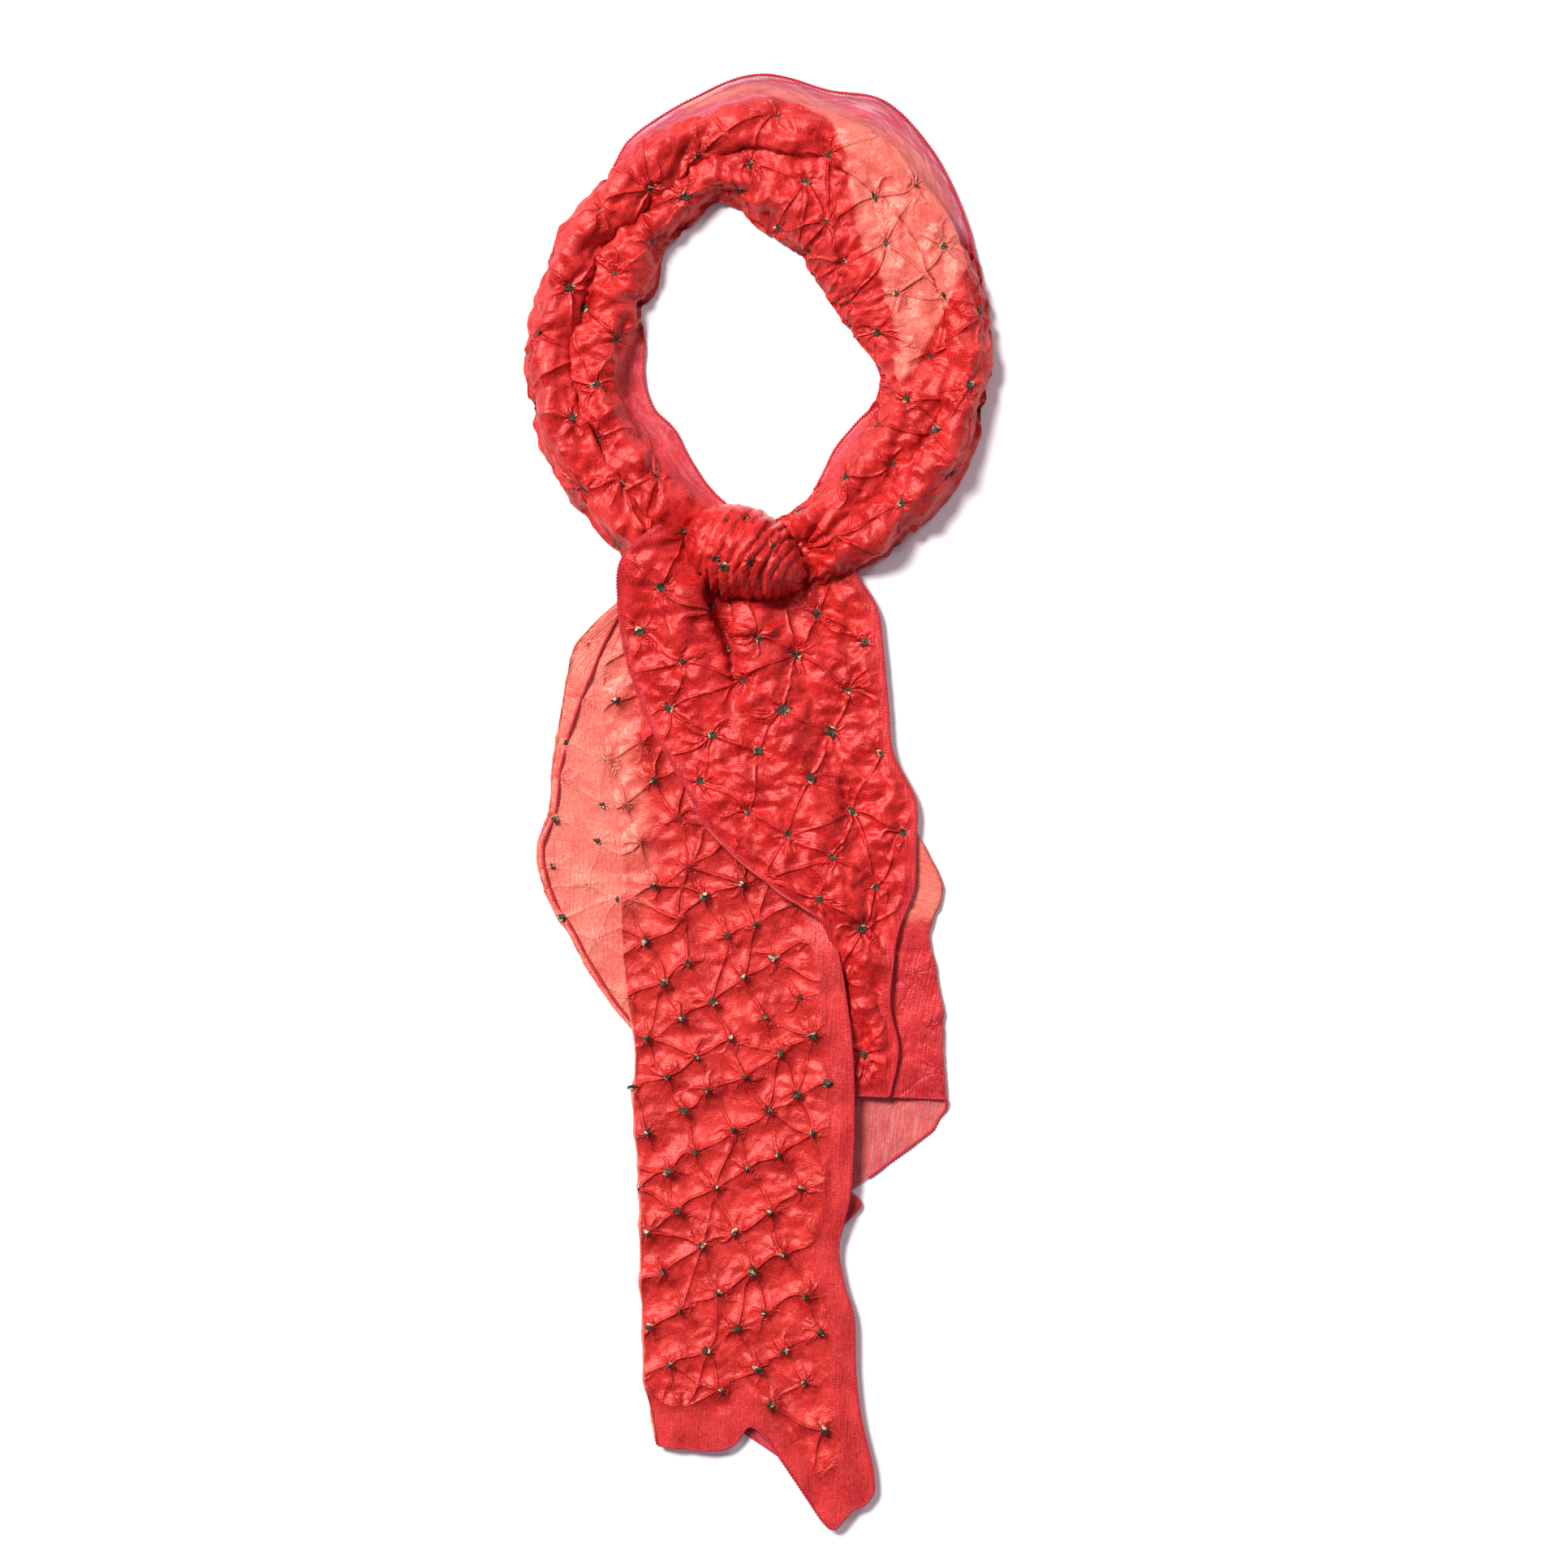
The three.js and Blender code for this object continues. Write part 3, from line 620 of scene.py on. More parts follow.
turn = np.linspace(-90, 270, RING_ROWS)
section, over_count = ring_section(turn)
top, top_length = resample(section[:, :over_count], RING_ACROSS)
below, _ = resample(section[:, over_count - 1:], UNDER_ACROSS + 1)
across = np.concatenate([top, below[:, 1:]], 1)
radius, height, plain = across[..., 0], across[..., 1], np.clip(across[..., 2], 0, 1)
angle = np.radians(turn)[:, None]
ring_places = np.stack([RING_CENTRE[0] + radius * np.cos(angle),
                        RING_CENTRE[1] + radius * np.sin(angle), height], -1)
ring_places = drawn_under_knot(ring_places)
in_valley = np.argmax(radius[:, :RING_ACROSS] > through(RING, "valley", turn, 360)[:, None], 1)
ring_v = np.linspace(0, 1, RING_ACROSS)[None, :] * top_length[:, None]
ring_v = ring_v - np.convolve(np.take_along_axis(ring_v, in_valley[:, None], 1)[:, 0],
                              np.ones(VALLEY_BLUR) / VALLEY_BLUR, mode="same")[:, None]
ring_v = np.concatenate([ring_v, ring_v[:, -1:] + UNDER_STEP * np.arange(1, UNDER_ACROSS + 1)], 1)
ring_u = np.broadcast_to(np.radians(turn)[:, None] * TURN_TO_MM, ring_v.shape)
print("ring section", round(float(top_length.mean())), "mm over the top")

# %% [markdown]
# ## The dye and the folds of the ring
# The ring is coral along the upper right, where the dye bath was lighter, and sheer in the flat
# border. The coral stretch is smoother than the rest and has long flowing folds. Near the knot
# the cloth is gathered, so folds fan out from the pinch.

# %% The neck ring: relief and dye
PINCH = (26.6, 146.3)               # where the ring's right end goes under the knot
RING_PITCH = 33.0
CORAL_TURNS = (-17, 114)            # the coral stretch, in degrees
CORAL_SHARE = 0.8                   # how strong the coral is here

ring_ties, ring_creases = tie_rows(
    (-20, 16), (0.93 * RING_PITCH, 13), (-13, 0.86 * RING_PITCH), 28,
    lambda u, v: (np.abs(u - 130) < 335) & (v > -75) & (v < 60), 4.5, 6, 18, 0.9, 21)
ring_fields = tie_fields(ring_u, ring_v, ring_ties, ring_creases, 3.0)
low, high = through(RING_CORAL, "low", turn), through(RING_CORAL, "high", turn)
inside = (turn > CORAL_TURNS[0]) & (turn < CORAL_TURNS[1])
edge_wander = 3 * waves(ring_u, ring_v, 14, 31)
coral = (smooth(radius + edge_wander, low[:, None] - 1, low[:, None] + 1)
         * (1 - smooth(radius + 0.3 * edge_wander, high[:, None] - 1, high[:, None] + 1))
         * CORAL_SHARE * inside[:, None])
sheer = plain * np.where(np.arange(ring_v.shape[1]) < RING_ACROSS // 2, 0.25, 1.0)
pinch_x, pinch_y = ring_places[..., 0] - PINCH[0], ring_places[..., 1] - PINCH[1]
pinch_angle, pinch_far = np.arctan2(pinch_y, pinch_x), np.hypot(pinch_x, pinch_y)
gather = 2.6 * np.cos(15 * pinch_angle + 2 * waves(ring_u, ring_v, 30, 5)) * np.exp(-pinch_far / 42)
on_right = smooth(-turn, 20, 40)[:, None] * (turn < 60)[:, None]


def ring_relief(fields):
    """Pits and puffs, long folds round the ring, flowing folds in the coral, and the gathers."""
    rounds = crumple(ring_u * 0.3, ring_v, 11, 17)
    rounds = rounds + 0.5 * waves(ring_u * 0.35, ring_v, 16, 18)
    flowing = 2.4 * crumple(ring_u * 0.45 + 3 * waves(ring_u, ring_v, 12, 28), ring_v, 13, 27)
    pits = pits_down(fields) * mix(1, 0.5, np.exp(-pinch_far / 40)) * (1 - 0.45 * coral)
    return pits + mix(rounds, flowing, coral) + gather * on_right


placed = lay("ring", ring_places, ring_u, ring_v, ring_fields, plain, coral, sheer, ring_relief,
             crush=1.5 - 1.2 * coral)
shows = np.zeros(ring_v.shape, bool)
shows[:, 1:RING_ACROSS - 1] = True
mark_ties("pit", ring_ties, shows & (plain < 0.3))
border, flap = through(RING, "brim", turn, 360) > 4, through(RING, "flap", turn, 360) > 5
hem_lines += [(placed[:, RING_ACROSS - 1], border), (placed[:, 0], flap)]
print(len(ring_ties), "ties on the ring,", len(tie_places), "of them show")

# %% [markdown]
# ## The long tail
# The long tail hangs from the knot in three layers, folded lengthwise. Its top layer shows the
# tied points as small upright tips. At the upper left the lowest layer looks out: a coral panel
# with its border turned over. The table gives the edges of each layer at many heights: both sides
# of the top layer, the inner fold, the outer fold and the turned border. Cut across, a folded
# cloth is one line: `strip` is a layer of it and `bend` is a fold.

# %% The long tail: sizes
TAIL_A = table("at left right tuck back turn", [
    (-123, -66, -2, -8, -73, -72), (-93, -83, 0, -8, -105, -88), (-74, -90, 2, -8, -111, -96),
    (-51, -90, 7, -5, -115, -105), (-19, -87, 16, 2, -120, -114), (7, -82, 26, 11, -122, -117),
    (28, -79, 33, 16, -129, -125), (54, -79, 40, 21, -124, -120), (77, -79, 45, 26, -111, -107),
    (94, -78, 49, 26, -102, -98), (119, -75, 53, 26, -86, -82), (144, -71, 56, 26, -67, -63),
    (180, -72, 57, 28, -62, -58), (216, -69, 56, 38, -61, -57), (234, -68, 54, 61, -60, -56),
    (246, -68, 51, 54, -60, -56), (262, -68, 48, 36, -60, -56), (280, -68, 51, 36, -59, -55),
    (297, -67, 57, 40, -58, -54), (320, -66, 58, 44, -57, -53), (339, -66, 61, 46, -56, -52),
    (363, -61, 68, 52, -52, -48), (376, -59, 69, 56, -50, -46)])
END_A = table("at down", [                # how far the end hem hangs below the last section
    (0, 0), (0.13, 2), (0.29, 3), (0.37, -1), (0.43, -11), (0.51, -4), (0.57, 7), (0.68, 28),
    (0.77, 45), (0.82, 49), (0.9, 38), (0.96, 35), (1, 28)])
A_ROWS = 310
A_ACROSS = 76
HEAD_RISE, OVER_B = 5.0, 5.2        # how far the head and the right side rise, millimetres


def strip(start, end, height, count, first=False):
    """Places across a layer, from one side to the other at one height."""
    t = np.linspace(0, 1, count + 1)[0 if first else 1:]
    x = start[:, None] + (end - start)[:, None] * t
    return np.stack([x, np.broadcast_to(height, x.shape)], -1)


def bend(x, z, radius, side, count=5):
    """Places round a fold, from the upper layer to the lower one, out to one side."""
    a = np.linspace(0, math.pi, count + 2)[1:-1]
    return np.stack([x[:, None] + side * radius * np.sin(a), z + radius * np.cos(a)
                     + np.zeros((len(x), 1))], -1)


print("the long tail is", round(TAIL_A["at"][-1] - TAIL_A["at"][0]), "mm long")

# %% [markdown]
# ## The long tail in its place
# The layers are strung together from the top one down. The head of the tail rises into the knot,
# and its right side rises over the lower layers of the short tail. The end hem hangs unevenly.

# %% The long tail: places
TURN_RADIUS = 0.8           # of the panel's turned border, millimetres

down = np.linspace(TAIL_A["at"][0], TAIL_A["at"][-1], A_ROWS)
w = columns_at(TAIL_A, down)
left, right, tuck, back = w["left"] + FOLD, w["right"], w["tuck"] - FOLD, w["back"] + FOLD
turned = np.maximum(w["turn"], back + 3)
panel = np.minimum(np.maximum(left + 4, back + 6), tuck - 8)
section = np.concatenate([
    strip(right, left, LOW + 2 * PITCH, A_ACROSS - 1, True),
    bend(left, LOW + 1.5 * PITCH, FOLD, -1),
    strip(left, tuck, LOW + PITCH, 4),
    bend(tuck, LOW + 0.5 * PITCH, FOLD, 1, 3),
    strip(tuck, panel, LOW, 3), strip(panel, back, LOW, 20),
    bend(back, LOW + TURN_RADIUS, TURN_RADIUS, -1, 3),
    strip(back, turned, LOW + 2 * TURN_RADIUS, 5)], 1)
x, z = section[..., 0], section[..., 1].copy()
column = np.arange(x.shape[1])[None, :]
top_layer = column < A_ACROSS
z += HEAD_RISE * (1 - smooth(down, down[0], down[0] + 26))[:, None]
over_b = (smooth(down, 62, 92) * (1 - smooth(down, 232, 262)))[:, None]
z += np.where(top_layer, OVER_B * over_b * smooth(x, 22, 40), 0)
share = np.clip((x - w["left"][:, None]) / (w["right"] - w["left"])[:, None], 0, 1)
tail = smooth(np.arange(A_ROWS), 0.78 * A_ROWS, A_ROWS)[:, None]
y = -down[:, None] - tail * through(END_A, "down", share) + np.where(top_layer, 0, 5 * tail)
a_places = drawn_under_knot(np.stack([x, y, z], -1))
a_u = np.where(top_layer, x, 2 * w["left"][:, None] - x)
a_v = y
print("long tail", a_places.shape[:2], "grid")

# %% [markdown]
# ## The dye and the folds of the long tail
# The side hem and the end are plain: nobody tied points there. The left side of the top layer
# goes over to coral near the panel. The panel below it is coral and a bit sheer.

# %% The long tail: relief and dye
A_STEP, A_CROSS = (10.4, -22.8), (19.5, 11.0)     # from one tied point to the next, two ways

a_ties, a_creases = tie_rows(
    (-57, -46.5), A_STEP, A_CROSS, 24,
    lambda u, v: (u > -150) & (u < 62) & (v > -410) & (v < 120), 3.2, 5, 14, 1.0, 8)
a_fields = tie_fields(a_u, a_v, a_ties, a_creases, 2.6)
from_hem = w["right"][:, None] - x
from_fold = x - w["left"][:, None]
from_end = (1 - np.arange(A_ROWS) / (A_ROWS - 1))[:, None] * (down[-1] - down[0]) * 1.12
plain = 1 - smooth(from_hem, 12, 21) * smooth(from_end + 4 * waves(a_u, a_v, 25, 6), 22, 36)
plain = np.where(top_layer, plain, 0.75)
coral_top = ((1 - smooth(from_fold + 5 * waves(a_u, a_v, 16, 41), 8, 26))
             * (1 - smooth(down, 20, 90))[:, None])
coral = np.where(top_layer, 0.06 + 0.84 * coral_top, 1 - smooth(from_fold, 3, 9))
sheer = np.where(top_layer, 0.06 * smooth(plain, 0.6, 1), 0.22)
long_folds = 1.3 * waves(from_hem * 1.6, a_v * 0.16, 15, 51) * smooth(plain, 0.3, 1)
a_places[..., 2] += np.where(top_layer, long_folds, 0)

placed = lay("long_tail", a_places, a_u, a_v, a_fields, plain, coral, sheer, tips_up,
             np.where(top_layer, -1.4, -9), np.where(top_layer, 9, 1.1))
shows = np.broadcast_to((column < A_ACROSS + 4) | (from_fold < -3), x.shape)
mark_ties("tip", a_ties, shows & (plain < 0.8))
hem_lines += [(placed[:, 0], None), (placed[-1, :A_ACROSS + 3], None),
              (placed[:, -1], down < 150)]
print(len(a_ties), "ties on the long tail,", len(tie_places), "in all show so far")

# %% [markdown]
# ## The short tail
# The short tail comes out of the knot over the long one and turns down to the right. Its top
# layer is cut off at a slant, so its left hem runs across the long one. Two lower layers look
# out at the right. The table follows both sides of the top layer, and how high they lie. Its main
# folds are few and clear, so each is a line with a width and a depth.

# %% The short tail: sizes
TAIL_B = table("at leftX leftY rightX rightY back liftL liftR drop", [
    (0, -55, 159, 57, 134, 51, 27, 1, 0), (19, -77, 141, 70, 113, 62, 21, 0, 4),
    (46, -79, 112, 74, 88, 66, 12, 0, 16), (79, -74, 79, 77, 55, 69, 10.4, 0, 24),
    (112, -60, 42, 80, 27, 72, 10.4, 0, 32), (141, -43, 12, 93, 0, 85, 10.4, 0, 42),
    (173, -24, -21, 93, -26, 99, 10.4, 0, 52), (200, 9, -50, 92, -52, 110, 10.4, 0, 60),
    (222, 39, -72, 83, -76, 102, 6, 0, 62), (242, 40, -92, 80, -95, 106, 0, 0, 60),
    (267, 38, -116, 78, -120, 110, 0, 0, 60), (295, 36, -144, 83, -145, 110, 0, 0, 60),
    (323, 35, -171, 78, -173, 112, 0, 0, 60)])
B_ROWS = 205
B_ACROSS = 84
DROP_WIDTH = 24.0           # of the slope from the long tail down to the table, millimetres
B_FOLDS = table("x0 y0 x1 y1 wide deep", [       # soft troughs and ridges, listed one by one
    (-20, 100, -12, 50, 6.0, -5.0), (-38, 130, -26, 60, 9, 5.0), (-10, 112, 32, 128, 10, 7.0),
    (-6, 100, 4, 50, 9, 3.5), (-62, 132, -52, 66, 8, 2.5), (30, 126, 48, 60, 9, 2.5),
    (-2, 84, 30, -16, 12, 1.8), (60, 116, 70, 46, 6, -2.0), (12, 20, 78, -40, 10, -2.0),
    (48, 0, 90, -30, 8, 2.2), (50, -80, 84, -130, 9, 2.0), (38, -66, 80, -98, 5, 2.6),
    (46, -92, 72, -162, 4.5, 2.6), (58, -84, 66, -168, 4, -2.0), (74, -60, 84, -150, 4, 1.8)])


def hand_folds(x, y, folds):
    """Soft ridges and troughs along straight lines, each fading out at both ends."""
    total = np.zeros_like(x)
    for k in range(len(folds["x0"])):
        x0, y0, x1, y1, wide, deep = (folds[name][k] for name in "x0 y0 x1 y1 wide deep".split())
        length = math.hypot(x1 - x0, y1 - y0)
        t = ((x - x0) * (x1 - x0) + (y - y0) * (y1 - y0)) / length**2
        off = ((x1 - x0) * (y - y0) - (y1 - y0) * (x - x0)) / length
        off = off - 0.12 * length * np.sin(math.pi * np.clip(t, 0, 1)) * (-1) ** k
        ends = smooth(t, -0.15, 0.15) * (1 - smooth(t, 0.75, 1.15))
        total += deep * ends * np.exp(-(off / wide) ** 2)
    return total


print("the short tail has", len(B_FOLDS["x0"]), "folds placed by hand")

# %% [markdown]
# ## The short tail in its place
# Its layers are strung together as before, on slanted lines. It starts high, on the long tail, and
# drops to the table at the right. The lowest layer ends lower on the left than on the right.

# %% The short tail: places
LAYER_THREE = B_ACROSS + 24         # the column where the fold to the lowest layer begins

down_b = np.linspace(0, TAIL_B["at"][-1], B_ROWS)
w = columns_at(TAIL_B, down_b)
left, right, back = w["leftX"] + FOLD, w["rightX"], w["back"] - FOLD
peek = np.minimum(right - 6, back - 8)
section = np.concatenate([
    strip(right, left, LOW + 2 * PITCH, B_ACROSS - 1, True),
    bend(left, LOW + 1.5 * PITCH, FOLD, -1),
    strip(left, peek, LOW + PITCH, 5), strip(peek, back, LOW + PITCH, 14),
    bend(back, LOW + 0.5 * PITCH, FOLD, 1, 3),
    strip(back, peek, LOW, 12), strip(peek, left + 4, LOW, 10)], 1)
x, z = section[..., 0], section[..., 1].copy()
column = np.arange(x.shape[1])[None, :]
top_layer = column < B_ACROSS
share = (x - w["leftX"][:, None]) / (w["rightX"] - w["leftX"])[:, None]
y = mix(w["leftY"][:, None], w["rightY"][:, None], share)
drop = w["drop"][:, None]
fall = smooth(x, drop - DROP_WIDTH / 2, drop + DROP_WIDTH / 2)
z += np.maximum(mix(w["liftL"][:, None], w["liftR"][:, None], fall), 0)
lowest = np.clip(column - LAYER_THREE, 0, 4) / 4
tail = smooth(np.arange(B_ROWS), 0.7 * B_ROWS, B_ROWS)[:, None]
y -= lowest * tail * mix(58, 12, np.clip((x - 54) / (w["back"][:, None] - 54), 0, 1))
hangs = np.where(column > B_ACROSS + 4, mix(0.1, 1, smooth(down_b, 48, 76))[:, None], 1)
z = np.where(top_layer, z + hand_folds(x, y, B_FOLDS), z * hangs)
b_places = drawn_under_knot(np.stack([x, y, z], -1), np.where(top_layer, 0.80, 0.97),
                            np.where(top_layer, 6.5, 0.0))
b_u = np.where(top_layer, x, 2 * w["leftX"][:, None] - x)
b_v = y
print("short tail", b_places.shape[:2], "grid")

# %% [markdown]
# ## The dye and the folds of the short tail
# This side of the cloth shows the points as pits. The cloth is plain along its hems. A coral flap
# of the second layer looks out at the right.

# %% The short tail: relief and dye
b_ties, b_creases = tie_rows(
    (-54, 126), (27.0, -14.5), (11.5, 28.5), 16,
    lambda u, v: (u > -100) & (u < 110) & (v > -190) & (v < 165), 4.2, 6, 19, 0.9, 33)
b_fields = tie_fields(b_u, b_v, b_ties, b_creases, 3.0)
tail_width = (w["rightX"] - w["leftX"])[:, None]
from_left, from_right = np.abs(share) * tail_width, (1 - share) * tail_width
from_end = (down_b[-1] - down_b)[:, None]
edges = smooth(from_left, 2, 8) * smooth(from_right, 3, 9) * smooth(from_end, 3, 10)
plain = np.where(top_layer, 1 - edges, 0.8)
flap_coral = smooth(y, -74, -66) * (1 - smooth(y, -24, -10))
layer_two = ~top_layer & (column < LAYER_THREE)
coral = np.where(top_layer, 0, np.where(layer_two, flap_coral, 0.45))
sheer = np.where(top_layer, 0.06 * plain, np.where(layer_two, 0.1, 0.4))

placed = lay("short_tail", b_places, b_u, b_v, b_fields, plain, coral, sheer, pits_down,
             np.where(top_layer, -1.6, -9), np.where(top_layer, 9, 1.0), crush=1.4)
mark_ties("pit", b_ties, np.broadcast_to(top_layer, x.shape) & (plain < 0.6))
hem_lines += [(placed[:, 0], None), (placed[:, B_ACROSS + 1], down_b < 225),
              (placed[-1, :B_ACROSS + 4], None),
              (placed[-1, B_ACROSS + 10:B_ACROSS + 41], None)]
print(len(b_ties), "ties on the short tail,", len(tie_places), "in all show so far")

# %% [markdown]
# ## The knot
# The knot is a band of the same cloth, drawn tight over everything. Pulling gathers it into
# pleats that curve from top to bottom. A torus would show a hole that a tight knot hasn't got, so
# it is made as a dome, leant over. Large pleats and fine ones between them fade towards both
# ends. Some ties were caught in the knot, and they show as pits.

# %% The knot
PLEATS = 12
KNOT_ROWS, KNOT_ACROSS = 60, 98
KNOT_TIES = [(-22, 34), (-11, 36), (8, 28), (-28, 12), (-12, 8), (22, 14)]
KNOT_FLAT = (400, 10)               # where its ties are measured from, on the flat cloth

along_knot = np.cos(np.linspace(math.pi, 0, KNOT_ACROSS))[None, :]
over_knot = np.linspace(-0.12 * math.pi, 1.12 * math.pi, KNOT_ROWS)[:, None]
girth = np.sqrt(np.maximum(1 - along_knot**2, 1e-4))
px, py, pz = along_knot + 0 * over_knot, np.cos(over_knot) * girth, np.sin(over_knot) * girth
bent = px + 0.22 * (1 - py**2) + 0.05 * waves(px * 20, py * 20, 14, 61)
bent = bent + 0.045 * waves(px * 30 + 9, py * 8, 11, 62)
fold_wave = np.abs(np.cos(0.5 * math.pi * PLEATS * bent)) ** 0.55
uneven = 0.8 + 0.5 * waves(px * 22, py * 12, 9, 63)
pleat = (fold_wave - 0.6) * (1 - px**2) ** 0.5 * uneven
fine = 0.7 * (np.abs(np.cos(math.pi * PLEATS * 1.15 * bent + 2.5 * py)) - 0.6) * (1 - px**2)
out = 1 + (4.4 * pleat + fine) / KNOT["half_x"]
kx = KNOT["half_x"] * px * out
ky = KNOT["half_y"] * py * out * (1 - 0.25 * np.maximum(px, 0))
lifted = np.maximum(pz, 0)
kz = (KNOT["low"] + (KNOT["high"] - KNOT["low"]) * lifted**0.75
      + (5.6 * pleat + 1.6 * fine) * lifted)
c, s = math.cos(KNOT["lean"]), math.sin(KNOT["lean"])
knot_places = np.stack([KNOT["x"] + kx * c - ky * s, KNOT["y"] + kx * s + ky * c, kz], -1)
knot_u, knot_v = 60 * px + KNOT_FLAT[0], 70 * over_knot / math.pi + 0 * px
knot_ties = np.array(KNOT_TIES, float) + np.array(KNOT_FLAT)
knot_fields = tie_fields(knot_u, knot_v, knot_ties, [], 0)


def knot_relief(fields):
    """Creases along the pleats, a star round each tie and a pit at it."""
    return (1.2 * crumple(knot_u, knot_v * 0.3, 5.0, 71) - 1.6 * fields["star"]
            - 1.5 * np.exp(-(fields["away"] / 3) ** 2))


lay("knot", knot_places, knot_u, knot_v, knot_fields, 0.0, 0.0, 0.0, knot_relief, crush=0.6)
mark_ties("pit", knot_ties, np.ones(knot_u.shape, bool))
print(len(tie_places), "tied points show")

# %% [markdown]
# ## One sheet of silk
# All four stretches go into one mesh, because the scarf is one piece of cloth. What the dye needs
# is kept on the mesh: a UV map in millimetres of flat cloth, and attributes for creases, tied
# points, coral, sheer and plain cloth. Distances are kept instead of colours, so that a crease can
# be drawn much finer than the grid.

# %% One sheet of silk: faces and marks
MARKS = ("crease", "near", "power", "away", "coral", "sheer", "plain")
places, faces, uvs, from_tie = [], [], [], []
count = 0
for sheet in sheets:
    rows, columns = sheet["u"].shape
    index = count + np.arange(rows * columns).reshape(rows, columns)
    quads = np.stack([index[:-1, :-1], index[:-1, 1:], index[1:, 1:], index[1:, :-1]], -1)
    if (normals(sheet["places"]) * sheet["up"]).sum() < 0:
        quads = quads[..., ::-1]
    places.append(sheet["places"].reshape(-1, 3))
    faces.append(quads.reshape(-1, 4))
    along = [sheet["v"], sheet["u"]] if sheet["name"] == "ring" else [sheet["u"], sheet["v"]]
    uvs.append(np.stack(along, -1).reshape(-1, 2))
    spoke = np.random.default_rng(5).uniform(0, 1, 600)[sheet["which"]]
    from_tie.append(np.concatenate([sheet["from_tie"], spoke[..., None]], -1).reshape(-1, 3))
    count += rows * columns
marks = {name: np.concatenate([np.ravel(sheet[name]) for sheet in sheets]) for name in MARKS}
places, faces, uvs = np.concatenate(places), np.concatenate(faces), np.concatenate(uvs)
print(count, "places,", len(faces), "faces")

# %% [markdown]
# ## The sheet as an object
# One helper makes every cloth object of this lesson: it shifts the outline to the middle, turns
# millimetres into metres and adds a UV map. The attributes are then filled in one by one.

# %% One sheet of silk: the object
def cloth_object(name, xyz, polygons, map_name=None, uv=None):
    """An object from places in millimetres. With a UV map it is also smooth."""
    mesh = bpy.data.meshes.new(name)
    mesh.from_pydata(((xyz - np.array([MIDDLE_X, 0, 0])) * MM).tolist(), [], polygons)
    if map_name:
        corner = np.empty(len(mesh.loops), np.int32)
        mesh.loops.foreach_get("vertex_index", corner)
        uv_map = mesh.uv_layers.new(name=map_name)
        uv_map.data.foreach_set("uv", uv[corner].astype(np.float32).ravel())
        mesh.polygons.foreach_set("use_smooth", np.ones(len(mesh.polygons), bool))
    made = bpy.data.objects.new(name, mesh)
    bpy.context.collection.objects.link(made)
    return made


silk = cloth_object("silk", places, faces.tolist(), "flat_cloth", uvs)
for name, values in marks.items():
    layer = silk.data.attributes.new(name, "FLOAT", "POINT")
    layer.data.foreach_set("value", values.astype(np.float32))
layer = silk.data.attributes.new("from_tie", "FLOAT_VECTOR", "POINT")
layer.data.foreach_set("vector", np.concatenate(from_tie).astype(np.float32).ravel())
silk.data.update()
area = sum(polygon.area for polygon in silk.data.polygons)
print("silk:", 2 * len(faces), "triangles,", round(area, 3), "square metres")

# %% [markdown]
# ## Lines for the hems
# A hem follows an edge of the cloth, but not the small steps of the grid. Its line is cut into
# equal steps here and evened out later. Where an edge is hidden in the pile there is no hem, so
# `runs` finds the stretches that show.

# %% Lines for the hems
def even_line(points, spacing):
    """The same line in equal steps, and how far along it each place is."""
    steps = np.concatenate([[0], np.cumsum(np.linalg.norm(np.diff(points, axis=0), axis=1))])
    at = np.linspace(0, steps[-1], max(int(steps[-1] / spacing), 4))
    return np.stack([np.interp(at, steps, points[:, c]) for c in range(3)], -1), at


def runs(mask):
    """Where a yes-or-no list is yes without a break: first and last place of each stretch."""
    edges = np.flatnonzero(np.diff(np.concatenate([[0], mask.astype(int), [0]])))
    return [(a, b) for a, b in zip(edges[::2], edges[1::2]) if b - a > 6]


print("stretches of a short mask:", runs(np.arange(20) % 10 < 8))

# %% [markdown]
# ## Rolled hems
# The edges are rolled and held with a dense zigzag stitch. Each hem is a thin tube along an edge
# of the cloth. A bevelled curve would be an even tube. This one is a little fatter at every
# stitch, and it sways from side to side with them.

# %% Rolled hems
HEM_RADIUS = 0.75           # millimetres
STITCH = 2.0                # one stitch to the next
HEM_SIDES = 6
SWAY = 0.22                 # how far the stitches pull it from side to side, millimetres
TABLE_GAP = 0.05            # no hem comes nearer to the table
hem_points, hem_faces, hem_uvs = [], [], []


def side_and_over(line):
    """The directions to the side and upwards at each place of a line."""
    ahead = np.gradient(line, axis=0)
    ahead /= np.maximum(np.linalg.norm(ahead, axis=1, keepdims=True), 1e-6)
    side = np.cross(ahead, [0, 0, 1.0])
    side /= np.maximum(np.linalg.norm(side, axis=1, keepdims=True), 1e-6)
    return side, np.cross(side, ahead)


